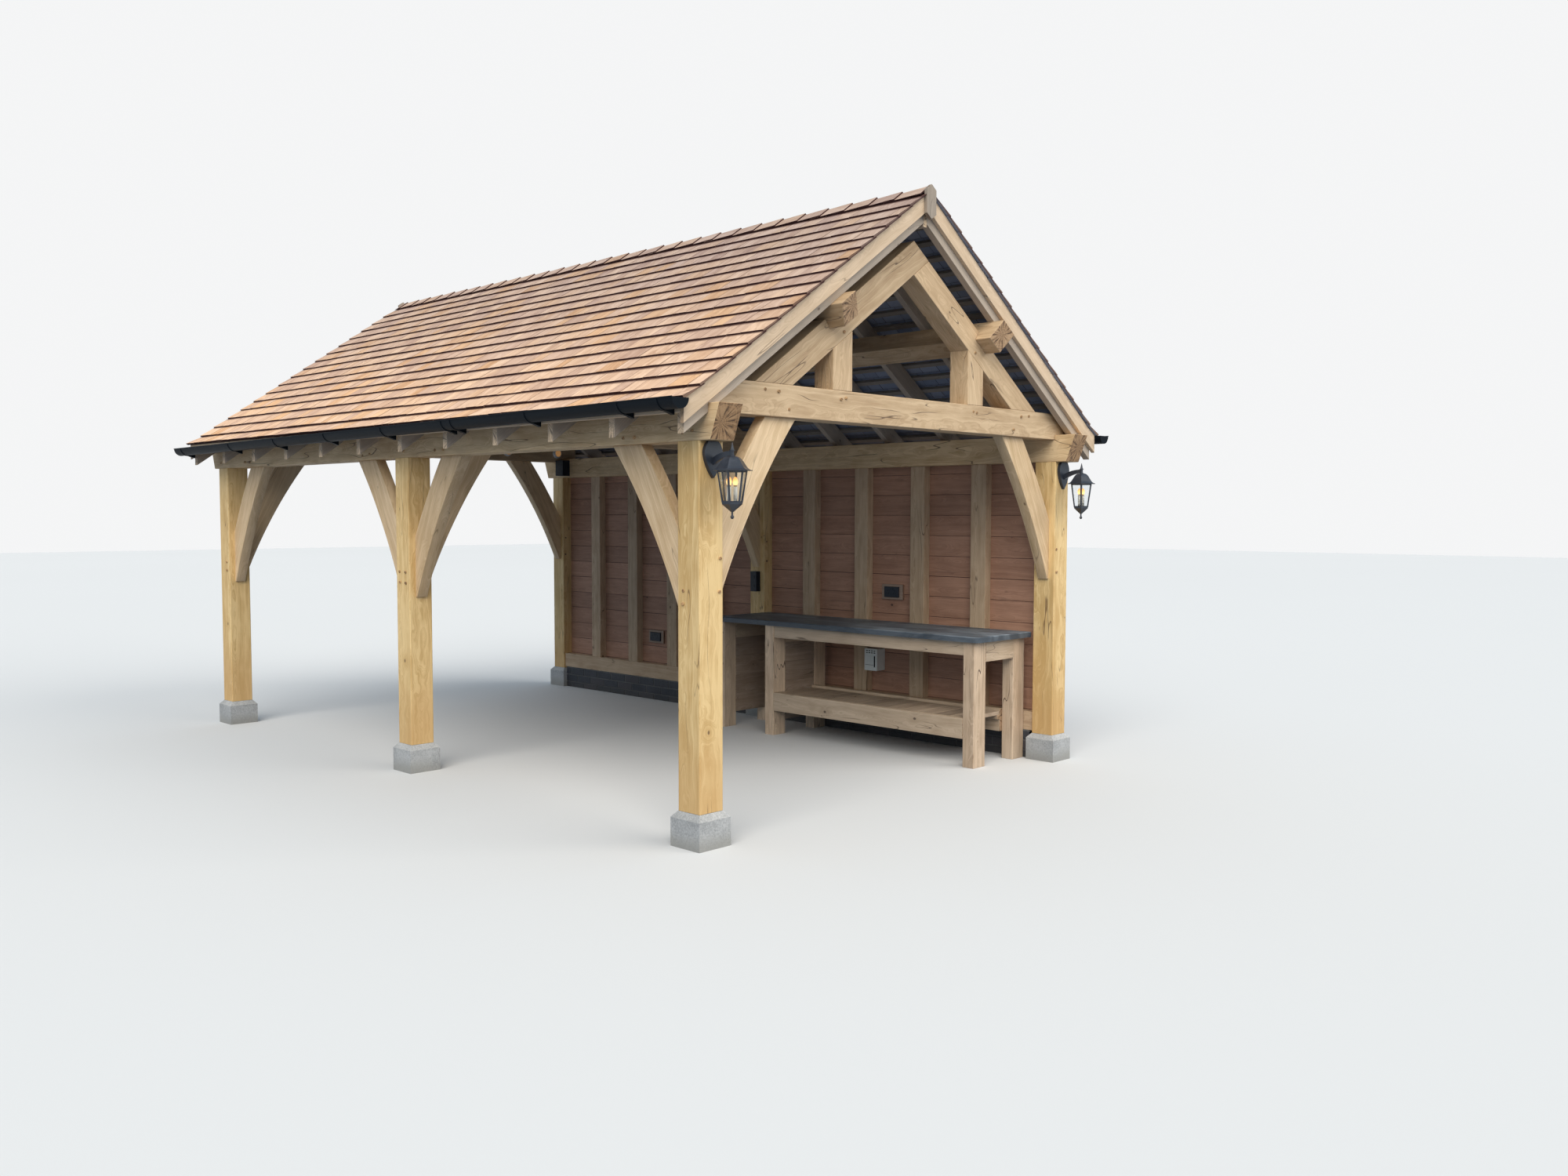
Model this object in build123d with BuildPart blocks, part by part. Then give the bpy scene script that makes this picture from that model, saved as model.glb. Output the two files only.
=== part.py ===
from build123d import *
import math
import os

os.makedirs("parts", exist_ok=True)

# Oak garden pavilion: an open green-oak frame of six posts on padstones, with one boarded long side,
# a pitched shingle roof and a fitted counter. Z is up from the ground. X runs across the gables,
# with the boarded side at +X, and Y runs along the ridge, away from the front gable.

# Frame
frame_width = 3695.0
bay_length = 3000.0
bay_count = 2
post_size = 175.0
post_arris = 4.0
post_top = 2214.0

# Padstones
pad_height = 195.0
pad_chamfer_height = 34.0
pad_ledge = 30.0

# Wall plates, their ends and the trusses
plate_height = 195.0
beam_end_reach = 157.0
beam_end_angle = 20.0
truss_thickness = 150.0
tie_drop = 34.0
tie_height = 185.0
principal_depth = 175.0
strut_width = 175.0
strut_centre = 677.5
roof_pitch = 35.0

# Common rafters, purlins and ridge
birdsmouth_seat = 70.0
rafter_depth = 125.0
rafter_thickness = 50.0
rafter_count = 12
rafter_reach = 172.0
fly_overhang = 72.0
purlin_size = 150.0
purlin_rise = 85.0
purlin_centre = 820.0
ridge_board_thickness = 32.0
ridge_board_depth = 175.0

# Roof covering
batten_thickness = 25.0
batten_width = 38.0
course_gauge = 141.5
course_butt = 20.0
course_head = 8.0
eave_overhang = 17.0
eave_tilt = 15.0
verge_overhang = 20.0
ridge_cap_width = 110.0
ridge_cap_gauge = 210.0
ridge_cap_butt = 10.0
ridge_cap_head = 5.0

# Verge and eave boards
barge_thickness = 28.0
barge_rise = 55.0
fascia_thickness = 25.0
fascia_depth = 75.0
apex_block_width = 95.0
apex_block_thickness = 24.0
apex_block_height = 216.0
apex_block_top = 41.0

# Gutters
gutter_radius = 58.0
gutter_wall = 3.0
gutter_end_reach = 145.0
gutter_bead = 4.0
gutter_rim_drop = 3.0
gutter_fall = 40.0
gutter_clearance = 4.0
bracket_width = 28.0
bracket_wall = 4.0
bracket_foot_drop = 80.0
bracket_web_angle = 50.0
bracket_end_gap = 131.0
bracket_first_gap = 327.0
bracket_front_spacing = 846.0
bracket_rear_spacing = 808.0
bracket_rear_count = 4
union_spacing = 105.0

# Curved braces
brace_thickness = 80.0
brace_width = 200.0
brace_bow = 42.0
brace_toe = 18.0
tie_brace_reach = 625.0
tie_brace_drop = 1020.0
plate_brace_reach = 615.0
plate_brace_drop = 975.0

# Boarded side
stud_count = 4
stud_width = 140.0
stud_depth = 75.0
stud_setback = 25.0
sole_height = 140.0
sole_lip = 10.0
plinth_height = 210.0
plinth_width = 102.0
plinth_setback = 12.0
board_thickness = 22.0
board_gauge = 163.0
board_first_height = 145.0
board_lap_step = 7.0

# Counter
counter_top = 952.0
slab_thickness = 40.0
slab_corner = 45.0
slab_arris = 4.0
counter_start = 205.0
counter_end = 2965.0
slab_overhang_front = 32.0
leg_width = 145.0
leg_thickness = 98.0
leg_inset = 51.0
leg_arris = 4.0
leg_end_inset = 9.0
counter_leg_reach = 643.0
middle_leg_start = 2266.0
rail_depth = 100.0
rail_thickness = 40.0
rail_setback = 8.0
shelf_top = 355.0
shelf_rail_depth = 150.0
shelf_back_upstand = 20.0
shelf_back_gap = 152.0
ledger_size = 30.0
slat_thickness = 28.0
slat_count = 13
slat_gap = 6.0
panel_board_thickness = 22.0
panel_bottom = 120.0

# Lanterns
lantern_out = 163.0
lantern_brim_radius = 112.0
lantern_brim_drop = 163.0
lantern_brim_edge = 4.0
lantern_cage_radius = 82.0
lantern_foot_radius = 56.0
lantern_cage_height = 167.0
lantern_bar = 7.0
lantern_glass_thickness = 3.0
lantern_cap_height = 76.0
lantern_cap_waist = 60.0
lantern_neck_radius = 10.0
lantern_ring_radius = 15.0
lantern_ring_height = 5.0
lantern_neck_height = 34.0
lantern_finial_height = 40.0
lantern_tip_radius = 1.5
turned_sides = 12
lantern_base_thickness = 10.0
lantern_cup_height = 50.0
lantern_cup_end_radius = 8.0
lantern_stem_radius = 5.0
lantern_ball_radius = 11.0
lantern_ball_drop = 77.0
lantern_plate_width = 130.0
lantern_plate_height = 196.0
lantern_plate_thickness = 22.0
lantern_plate_gap = 3.0
lantern_plate_shoulder = 36.0
lantern_plate_waist = 70.0
lantern_plate_bow = 7.0
lantern_arm_thickness = 16.0
lantern_arm_low = 34.0
lantern_arm_root = 40.0
lantern_arm_bow = 9.0
candle_radius = 9.5
candle_height = 84.0
candle_spacing = 46.0
bulb_radius = 14.0
bulb_height = 52.0
bulb_tip_radius = 4.0

# Small electric fittings
socket_width = 150.0
socket_height = 86.0
socket_depth = 16.0
pattress_width = 220.0
pattress_height = 125.0
pattress_depth = 20.0
front_socket_z = 1190.0
rear_socket_z = 617.0
switch_width = 74.0
switch_height = 180.0
switch_depth = 50.0
switch_z = 1226.0
supply_box_width = 134.0
supply_box_height = 182.0
supply_box_depth = 104.0
supply_box_gap = 2.0
supply_box_z = 621.0
speaker_width = 125.0
speaker_height = 162.0
speaker_depth = 90.0
speaker_gap = 8.0
speaker_drop = 16.0
lamp_radius = 52.0
lamp_depth = 26.0
lamp_insets = (66.0, 679.0)
fitting_arris = 3.0

# Worked-out places
slope = math.tan(math.radians(roof_pitch))
square = math.cos(math.radians(roof_pitch))
half_width = frame_width / 2
half_span = half_width - post_size
frame_length = bay_count * bay_length + post_size
front_reach = lantern_out + lantern_brim_radius
rear_reach = max(gutter_end_reach, beam_end_reach)
front = front_reach - (frame_length + rear_reach + front_reach) / 2
back = front + frame_length
middle = (front + back) / 2
post_places = [front + bay_length * bay for bay in range(bay_count + 1)]
plate_top = post_top + plate_height
tie_bottom = plate_top - tie_drop
tie_top = tie_bottom + tie_height
truss_setback = (post_size - truss_thickness) / 2
batten_top = rafter_depth + batten_thickness
eave_half = half_width + rafter_reach
fascia_half = eave_half + fascia_thickness
wall_face = half_span + stud_setback
board_face = wall_face + stud_depth
barge_front = front - fly_overhang - barge_thickness
barge_back = back + fly_overhang + barge_thickness
verge_front = barge_front - verge_overhang
verge_back = barge_back + verge_overhang


def roof_z(half, height):
    """Height above ground of a line parallel to the rafters, `height` square above their underside."""
    return plate_top + (half_width - birdsmouth_seat - half) * slope + height / square


def roof_half(z, height):
    """Distance from the ridge line at which that same line stands at level z."""
    return half_width - birdsmouth_seat + (plate_top + height / square - z) / slope


def across(y):
    """Sketch plane across the building at y; a negative extrusion runs towards the rear gable."""
    return Plane.XZ.offset(-y)


def slope_plane(side, half, height, y):
    """Plane with x along the ridge, y square out of the roof and z up the slope of one side."""
    up_slope = (-side * math.cos(math.radians(roof_pitch)), 0, math.sin(math.radians(roof_pitch)))
    return Plane(origin=(side * half, y, roof_z(half, height)), x_dir=(0, -side, 0), z_dir=up_slope)


# Padstones: cast blocks with a chamfered top that sheds water away from the post feet
pad_size = post_size + 2 * pad_ledge
pad_taper = math.degrees(math.atan(pad_ledge / pad_chamfer_height))
post_centres = [
    (side * (half_width - post_size / 2), place + post_size / 2) for side in (-1, 1) for place in post_places
]
with BuildPart() as padstones:
    with BuildSketch():
        with Locations(*post_centres):
            Rectangle(pad_size, pad_size)
    extrude(amount=pad_height - pad_chamfer_height)
    with BuildSketch(Plane.XY.offset(pad_height - pad_chamfer_height)):
        with Locations(*post_centres):
            Rectangle(pad_size, pad_size)
    extrude(amount=pad_chamfer_height, taper=pad_taper)
padstones.part.label = "padstones"
export_step(padstones.part, "parts/padstones.step")

# Posts: six square posts with eased arrises
with BuildPart() as posts:
    with BuildSketch(Plane.XY.offset(pad_height)):
        with Locations(*post_centres):
            Rectangle(post_size, post_size)
    extrude(amount=post_top - pad_height)
    chamfer(posts.edges().filter_by(Axis.Z), length=post_arris)
posts.part.label = "posts"
export_step(posts.part, "parts/posts.step")


# Long beams: plates and purlins have ends undercut to the same angle
def undercut_side(plane, depth, bottom):
    """Side outline of a beam running past both gable frames, longer on top than underneath."""
    long_half = frame_length / 2 + beam_end_reach
    short_half = long_half - depth * math.tan(math.radians(beam_end_angle))
    with BuildSketch(plane) as side:
        with BuildLine():
            Polyline(
                (-long_half, bottom + depth),
                (long_half, bottom + depth),
                (short_half, bottom),
                (-short_half, bottom),
                close=True,
            )
        make_face()
    return side.sketch


# Wall plates: each is housed for the three tie beams that drop into it
plate_half = half_width - post_size / 2
with BuildPart() as wall_plates:
    for side in (-1, 1):
        plate_plane = Plane(origin=(side * plate_half, middle, 0), x_dir=(0, 1, 0), z_dir=(1, 0, 0))
        extrude(undercut_side(plate_plane, plate_height, post_top), amount=post_size / 2, both=True)
    with BuildSketch(Plane.XY.offset(tie_bottom)):
        for place in post_places:
            for side in (-1, 1):
                with Locations((side * plate_half, place + post_size / 2)):
                    Rectangle(post_size, truss_thickness)
    extrude(amount=tie_drop, mode=Mode.SUBTRACT)
wall_plates.part.label = "wall_plates"
export_step(wall_plates.part, "parts/wall_plates.step")


# Trusses: tie beam, two principal rafters halved past each other at the apex, and two queen struts
def outline(plane, points):
    """Flat face through the points, laid on the plane."""
    with BuildSketch(plane) as shape:
        with BuildLine():
            Polyline(*points, close=True)
        make_face()
    return shape.sketch


tie_shoulder = roof_half(tie_top, rafter_depth)
tie_points = [
    (-half_width, tie_bottom),
    (half_width, tie_bottom),
    (half_width, roof_z(half_width, rafter_depth)),
    (tie_shoulder, tie_top),
    (-tie_shoulder, tie_top),
    (-half_width, roof_z(half_width, rafter_depth)),
]
principal_back = -purlin_rise
principal_belly = -purlin_rise - principal_depth
apex_lap = (roof_z(0, principal_back) - roof_z(0, principal_belly)) / (2 * slope)
principal_left_points = [
    (-roof_half(tie_top, principal_back), tie_top),
    (0, roof_z(0, principal_back)),
    (apex_lap, roof_z(apex_lap, principal_back)),
    (-roof_half(tie_top, principal_belly), tie_top),
]
principal_right_points = [
    (apex_lap, roof_z(apex_lap, principal_back)),
    (roof_half(tie_top, principal_back), tie_top),
    (roof_half(tie_top, principal_belly), tie_top),
    (0, roof_z(0, principal_belly)),
]
strut_inner = strut_centre - strut_width / 2
strut_outer = strut_centre + strut_width / 2
strut_points = [
    (strut_inner, tie_top),
    (strut_outer, tie_top),
    (strut_outer, roof_z(strut_outer, principal_belly)),
    (strut_inner, roof_z(strut_inner, principal_belly)),
]


def in_each_truss(points):
    """Extrude one outline across the thickness of every truss."""
    for place in post_places:
        extrude(outline(across(place + truss_setback), points), amount=-truss_thickness)


with BuildPart() as tie_beams:
    in_each_truss(tie_points)
tie_beams.part.label = "tie_beams"
export_step(tie_beams.part, "parts/tie_beams.step")

for name, side, principal_points in (
    ("principals_left", -1, principal_left_points),
    ("principals_right", 1, principal_right_points),
):
    with BuildPart() as principals:
        in_each_truss(principal_points)
        with BuildSketch(slope_plane(side, purlin_centre, 0, middle)):
            with Locations((0, -purlin_size / 2)):
                Rectangle(frame_length, purlin_size)
        extrude(amount=purlin_size / 2, both=True, mode=Mode.SUBTRACT)
    principals.part.label = name
    export_step(principals.part, f"parts/{name}.step")

with BuildPart() as queen_struts:
    in_each_truss(strut_points)
    mirror(queen_struts.part, about=Plane.YZ)
queen_struts.part.label = "queen_struts"
export_step(queen_struts.part, "parts/queen_struts.step")

# Purlins: square beams turned to the pitch, trenched into the backs of the principals
with BuildPart() as purlins:
    for side in (-1, 1):
        along_roof = slope_plane(side, purlin_centre, 0, middle)
        extrude(undercut_side(along_roof, purlin_size, -purlin_size), amount=purlin_size / 2, both=True)
purlins.part.label = "purlins"
export_step(purlins.part, "parts/purlins.step")

# Ridge board between the heads of the common rafters
rafter_first = front - fly_overhang
rafter_last = back + fly_overhang - rafter_thickness
rafter_run = rafter_last + rafter_thickness - rafter_first
rafter_spacing = (rafter_last - rafter_first) / (rafter_count - 1)
rafter_places = [rafter_first + rafter_spacing * number for number in range(rafter_count)]
ridge_half = ridge_board_thickness / 2
ridge_board_top = roof_z(ridge_half, rafter_depth)
with BuildPart() as ridge_board:
    with BuildSketch(across(rafter_first)):
        with Locations((0, ridge_board_top - ridge_board_depth / 2)):
            Rectangle(ridge_board_thickness, ridge_board_depth)
    extrude(amount=-rafter_run)
ridge_board.part.label = "ridge_board"
export_step(ridge_board.part, "parts/ridge_board.step")

# Common rafters: plumb cut at ridge and foot, with a birdsmouth over the outer edge of the plate
rafter_points = [
    (ridge_half, roof_z(ridge_half, 0)),
    (half_width - birdsmouth_seat, plate_top),
    (half_width, plate_top),
    (half_width, roof_z(half_width, 0)),
    (eave_half, roof_z(eave_half, 0)),
    (eave_half, roof_z(eave_half, rafter_depth)),
    (ridge_half, roof_z(ridge_half, rafter_depth)),
]
with BuildPart() as rafters:
    for place in rafter_places:
        extrude(outline(across(place), rafter_points), amount=-rafter_thickness)
    mirror(rafters.part, about=Plane.YZ)
rafters.part.label = "rafters"
export_step(rafters.part, "parts/rafters.step")

# Roof setting out: whole courses from the eave up to the lower edge of the ridge capping
covering_half = fascia_half + eave_overhang
slope_length = covering_half / square
course_run = course_gauge * square
course_count = int((slope_length - ridge_cap_width + course_gauge / 4) / course_gauge)
cap_half = covering_half - course_count * course_run


def covering_base(half):
    """Height of the covering's underside, which the eave board tilts up over the first course."""
    return batten_top + eave_tilt * max(0.0, 1 - (covering_half - half) / course_run)


# Battens: one under the butt of each shingle course above the first
with BuildPart() as battens:
    for course in range(1, course_count + 1):
        batten_half = covering_half - course * course_run
        with BuildSketch(slope_plane(1, batten_half, rafter_depth, rafter_first)):
            with Locations((-rafter_run / 2, batten_thickness / 2)):
                Rectangle(rafter_run, batten_thickness)
        extrude(amount=batten_width)
    mirror(battens.part, about=Plane.YZ)
battens.part.label = "battens"
export_step(battens.part, "parts/battens.step")

# Roof covering: each course stands on the head of the one below, so the top steps down to the eave
covering_points = [(covering_half, roof_z(covering_half, covering_base(covering_half)))]
for course in range(course_count):
    butt_half = covering_half - course * course_run
    head_half = butt_half - course_run
    covering_points += [(butt_half, roof_z(butt_half, covering_base(butt_half) + course_butt))]
    covering_points += [(head_half, roof_z(head_half, covering_base(head_half) + course_head))]
covering_points += [
    (cap_half, roof_z(cap_half, batten_top + course_butt)),
    (0, roof_z(0, batten_top + course_butt)),
    (0, roof_z(0, batten_top)),
    (covering_half - course_run, roof_z(covering_half - course_run, batten_top)),
]
block_centres = [(0, barge_front - apex_block_thickness / 2), (0, barge_back + apex_block_thickness / 2)]
with BuildPart() as roof_right:
    extrude(outline(across(verge_front), covering_points), amount=-(verge_back - verge_front))
    with BuildSketch():
        with Locations(*block_centres):
            Rectangle(apex_block_width, apex_block_thickness)
    extrude(amount=roof_z(0, batten_top + 2 * course_butt), mode=Mode.SUBTRACT)
roof_right.part.label = "roof_right"
export_step(roof_right.part, "parts/roof_right.step")
with BuildPart() as roof_left:
    mirror(roof_right.part, about=Plane.YZ)
roof_left.part.label = "roof_left"
export_step(roof_left.part, "parts/roof_left.step")

# Ridge capping: short boards lapped along the ridge, thick ends towards the front gable
cap_under = batten_top + course_butt
cap_length = verge_back - verge_front
cap_boards = math.ceil(cap_length / ridge_cap_gauge)
cap_points = [(-cap_length / 2, 0)]
for board in range(cap_boards):
    board_start = board * ridge_cap_gauge
    board_end = min(board_start + ridge_cap_gauge, cap_length)
    thinned = (ridge_cap_butt - ridge_cap_head) * (board_end - board_start) / ridge_cap_gauge
    cap_points += [(board_start - cap_length / 2, ridge_cap_butt)]
    cap_points += [(board_end - cap_length / 2, ridge_cap_butt - thinned)]
cap_points += [(cap_length / 2, 0)]
cap_foot = ridge_cap_width * square
with BuildPart() as ridge_capping:
    cap_plane = slope_plane(-1, cap_foot, cap_under, middle)
    extrude(outline(cap_plane, cap_points), amount=ridge_cap_width + ridge_cap_butt)
    split(bisect_by=Plane.YZ, keep=Keep.BOTTOM)
    with BuildSketch():
        with Locations(*block_centres):
            Rectangle(apex_block_width, apex_block_thickness)
    extrude(amount=roof_z(0, batten_top + 2 * course_butt), mode=Mode.SUBTRACT)
    mirror(ridge_capping.part, about=Plane.YZ)
ridge_capping.part.label = "ridge_capping"
export_step(ridge_capping.part, "parts/ridge_capping.step")

# Bargeboards on the outer faces of the fly rafters, mitred at the apex
first_course_half = covering_half - course_run
barge_points = [
    (0, roof_z(0, barge_rise)),
    (fascia_half, roof_z(fascia_half, barge_rise)),
    (fascia_half, roof_z(fascia_half, covering_base(fascia_half))),
    (first_course_half, roof_z(first_course_half, batten_top)),
    (0, roof_z(0, batten_top)),
]
with BuildPart() as bargeboards_right:
    for barge_place in (barge_front, back + fly_overhang):
        extrude(outline(across(barge_place), barge_points), amount=-barge_thickness)
bargeboards_right.part.label = "bargeboards_right"
export_step(bargeboards_right.part, "parts/bargeboards_right.step")
with BuildPart() as bargeboards_left:
    mirror(bargeboards_right.part, about=Plane.YZ)
bargeboards_left.part.label = "bargeboards_left"
export_step(bargeboards_left.part, "parts/bargeboards_left.step")

# Apex blocks over the mitres, cut to the pitch on top and to a shallow point below
block_top = roof_z(0, batten_top) + apex_block_top
block_half = apex_block_width / 2
block_points = [
    (0, block_top),
    (block_half, block_top - block_half * slope),
    (block_half, block_top - apex_block_height + block_half * slope),
    (0, block_top - apex_block_height),
    (-block_half, block_top - apex_block_height + block_half * slope),
    (-block_half, block_top - block_half * slope),
]
with BuildPart() as apex_blocks:
    for block_place in (barge_front - apex_block_thickness, barge_back):
        extrude(outline(across(block_place), block_points), amount=-apex_block_thickness)
apex_blocks.part.label = "apex_blocks"
export_step(apex_blocks.part, "parts/apex_blocks.step")

# Fascias across the rafter feet, standing up to tilt the first course
fascia_top = roof_z(fascia_half, covering_base(fascia_half))
fascia_points = [
    (eave_half, fascia_top - fascia_depth),
    (fascia_half, fascia_top - fascia_depth),
    (fascia_half, fascia_top),
    (eave_half, roof_z(eave_half, covering_base(eave_half))),
]
with BuildPart() as fascias:
    extrude(outline(across(rafter_first), fascia_points), amount=-rafter_run)
    mirror(fascias.part, about=Plane.YZ)
fascias.part.label = "fascias"
export_step(fascias.part, "parts/fascias.step")

# Gutters: half-round troughs falling to the rear, with stopped ends and a rolled bead on the outer rim
gutter_front = front - gutter_end_reach
gutter_back = back + gutter_end_reach
gutter_centre = fascia_half + gutter_clearance + gutter_radius
gutter_back_rim = fascia_half + gutter_clearance
gutter_rim = roof_z(gutter_back_rim, covering_base(gutter_back_rim)) - gutter_rim_drop


def rim_level(y):
    """Height of the gutter rim at one place along the eave."""
    return gutter_rim - gutter_fall * (y - gutter_front) / (gutter_back - gutter_front)


def gutter_trough(y, radius):
    """Lower half of a circle about the gutter's centre line."""
    with BuildSketch(across(y)) as trough:
        with Locations((gutter_centre, rim_level(y))):
            Circle(radius)
        with Locations((gutter_centre, rim_level(y) + radius)):
            Rectangle(2 * radius, 2 * radius, mode=Mode.SUBTRACT)
    return trough.sketch


def follow_fall(shape, start, end, mode=Mode.ADD):
    """Extrude an outline standing across the eave from start to end, down the fall of the gutter."""
    run = Vector(0, end - start, rim_level(end) - rim_level(start))
    extrude(shape, amount=run.length, dir=run.normalized(), mode=mode)


with BuildPart() as gutters:
    follow_fall(gutter_trough(gutter_front, gutter_radius), gutter_front, gutter_back)
    trough_front = gutter_front + gutter_wall
    trough_back = gutter_back - gutter_wall
    hollow = gutter_trough(trough_front, gutter_radius - gutter_wall)
    follow_fall(hollow, trough_front, trough_back, mode=Mode.SUBTRACT)
    with BuildSketch(across(gutter_front)) as bead:
        with Locations((gutter_centre + gutter_radius, gutter_rim)):
            Circle(gutter_bead)
    follow_fall(bead.sketch, gutter_front, gutter_back)
    mirror(gutters.part, about=Plane.YZ)
gutters.part.label = "gutters"
export_step(gutters.part, "parts/gutters.step")


# Gutter brackets: a strap under the trough on a web with its foot on the fascia, a pair at the union
def bracket_outline(y):
    """Bracket seen along the eave: the web from fascia to trough with the strap's curve on top."""
    level = rim_level(y)
    foot_low = level - bracket_foot_drop
    web_reach = gutter_radius + bracket_wall
    web_tip = (
        gutter_centre + web_reach * math.cos(math.radians(bracket_web_angle)),
        level - web_reach * math.sin(math.radians(bracket_web_angle)),
    )
    with BuildSketch(across(y)) as bracket:
        with Locations((gutter_centre, level)):
            Circle(gutter_radius + bracket_wall)
        with BuildLine():
            Polyline((fascia_half, level), (fascia_half, foot_low), web_tip, (gutter_centre, level), close=True)
        make_face()
        with Locations((gutter_centre, level)):
            Circle(gutter_radius, mode=Mode.SUBTRACT)
        with Locations((gutter_centre, level + 2 * gutter_radius - gutter_bead)):
            Rectangle(4 * gutter_radius, 4 * gutter_radius, mode=Mode.SUBTRACT)
    return bracket.sketch


end_bracket = gutter_front + bracket_end_gap
second_bracket = end_bracket + bracket_first_gap
third_bracket = second_bracket + bracket_front_spacing
union_centre = third_bracket + bracket_front_spacing
bracket_centres = [
    end_bracket,
    second_bracket,
    third_bracket,
    union_centre - union_spacing / 2,
    union_centre + union_spacing / 2,
    gutter_back - bracket_end_gap,
]
bracket_centres += [union_centre + bracket_rear_spacing * number for number in range(1, bracket_rear_count + 1)]
with BuildPart() as gutter_brackets:
    for centre in bracket_centres:
        bracket_start = centre - bracket_width / 2
        bracket_end = centre + bracket_width / 2
        follow_fall(bracket_outline(bracket_start), bracket_start, bracket_end)
    mirror(gutter_brackets.part, about=Plane.YZ)
gutter_brackets.part.label = "gutter_brackets"
export_step(gutter_brackets.part, "parts/gutter_brackets.step")


# Curved braces: bands between two concentric arcs, cut off by the post and by the beam above
def brace_outline(plane, reach, drop):
    """Brace with the corner of post and beam at the plane's origin, x along the beam and y up."""
    toe = Vector(brace_toe, -drop)
    tip = Vector(reach, 0)
    chord = (tip - toe).length
    along_chord = (tip - toe).normalized()
    into_opening = Vector(along_chord.Y, -along_chord.X)
    radius = chord**2 / (8 * brace_bow) + brace_bow / 2
    centre = (toe + tip) * 0.5 + into_opening * (radius - brace_bow)
    inner_middle = centre - into_opening * radius
    outer_radius = radius + brace_width
    on_post = Vector(0, centre.Y + math.sqrt(outer_radius**2 - centre.X**2))
    on_beam = Vector(centre.X - math.sqrt(outer_radius**2 - centre.Y**2), 0)
    outer_middle = centre + ((on_post + on_beam) * 0.5 - centre).normalized() * outer_radius
    with BuildSketch(plane) as shape:
        with BuildLine():
            ThreePointArc(toe, inner_middle, tip)
            Line(tip, on_beam)
            ThreePointArc(on_beam, outer_middle, on_post)
            Polyline(on_post, (0, -drop), toe)
        make_face()
    return shape.sketch


def brace_plane(corner, towards):
    """Upright plane through a corner of post and beam, x running towards the opening."""
    facing = Vector(*towards).cross(Vector(0, 0, 1))
    return Plane(origin=corner, x_dir=towards, z_dir=facing)


with BuildPart() as tie_braces:
    for place in post_places:
        for side in (-1, 1):
            corner = (side * half_span, place + post_size / 2, tie_bottom)
            brace = brace_outline(brace_plane(corner, (-side, 0, 0)), tie_brace_reach, tie_brace_drop)
            extrude(brace, amount=brace_thickness / 2, both=True)
tie_braces.part.label = "tie_braces"
export_step(tie_braces.part, "parts/tie_braces.step")

# Plate braces stand in the open long side only
with BuildPart() as plate_braces:
    for place, next_place in zip(post_places, post_places[1:]):
        for corner_y, towards in ((place + post_size, 1), (next_place, -1)):
            corner = (-plate_half, corner_y, post_top)
            brace = brace_outline(brace_plane(corner, (0, towards, 0)), plate_brace_reach, plate_brace_drop)
            extrude(brace, amount=brace_thickness / 2, both=True)
plate_braces.part.label = "plate_braces"
export_step(plate_braces.part, "parts/plate_braces.step")

# Boarded side: brick plinth, sole plate, studs and weatherboards in each bay
bay_clear = bay_length - post_size
bay_starts = [place + post_size for place in post_places[:-1]]
plinth_face = half_span + plinth_setback
sole_top = plinth_height + sole_height
stud_gap = (bay_clear - stud_count * stud_width) / (stud_count + 1)

with BuildPart() as brick_plinth:
    for start in bay_starts:
        with Locations((plinth_face, start + bay_clear / 2, 0)):
            Box(
                plinth_width,
                bay_clear - 2 * pad_ledge,
                plinth_height,
                align=(Align.MIN, Align.CENTER, Align.MIN),
            )
brick_plinth.part.label = "brick_plinth"
export_step(brick_plinth.part, "parts/brick_plinth.step")

with BuildPart() as sole_plates:
    for start in bay_starts:
        with Locations((wall_face - sole_lip, start, plinth_height)):
            Box(stud_depth + sole_lip, bay_clear, sole_height, align=(Align.MIN, Align.MIN, Align.MIN))
sole_plates.part.label = "sole_plates"
export_step(sole_plates.part, "parts/sole_plates.step")

stud_places = [
    start + stud_gap + number * (stud_width + stud_gap) for start in bay_starts for number in range(stud_count)
]
with BuildPart() as studs:
    with BuildSketch(Plane.XY.offset(sole_top)):
        for place in stud_places:
            with Locations((wall_face, place)):
                Rectangle(stud_depth, stud_width, align=(Align.MIN, Align.MIN))
    extrude(amount=post_top - sole_top)
studs.part.label = "studs"
export_step(studs.part, "parts/studs.step")

board_seams = [plinth_height]
while board_seams[-1] < post_top - board_gauge:
    step = board_first_height if len(board_seams) == 1 else board_gauge
    board_seams.append(board_seams[-1] + step)
board_seams.append(post_top)
board_points = [(board_face, plinth_height)]
for seam, next_seam in zip(board_seams, board_seams[1:]):
    board_points += [(board_face + board_thickness, seam)]
    board_points += [(board_face + board_thickness - board_lap_step, next_seam)]
board_points += [(board_face, post_top)]
with BuildPart() as wall_boards:
    for start in bay_starts:
        extrude(outline(across(start), board_points), amount=-bay_clear)
wall_boards.part.label = "wall_boards"
export_step(wall_boards.part, "parts/wall_boards.step")

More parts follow.
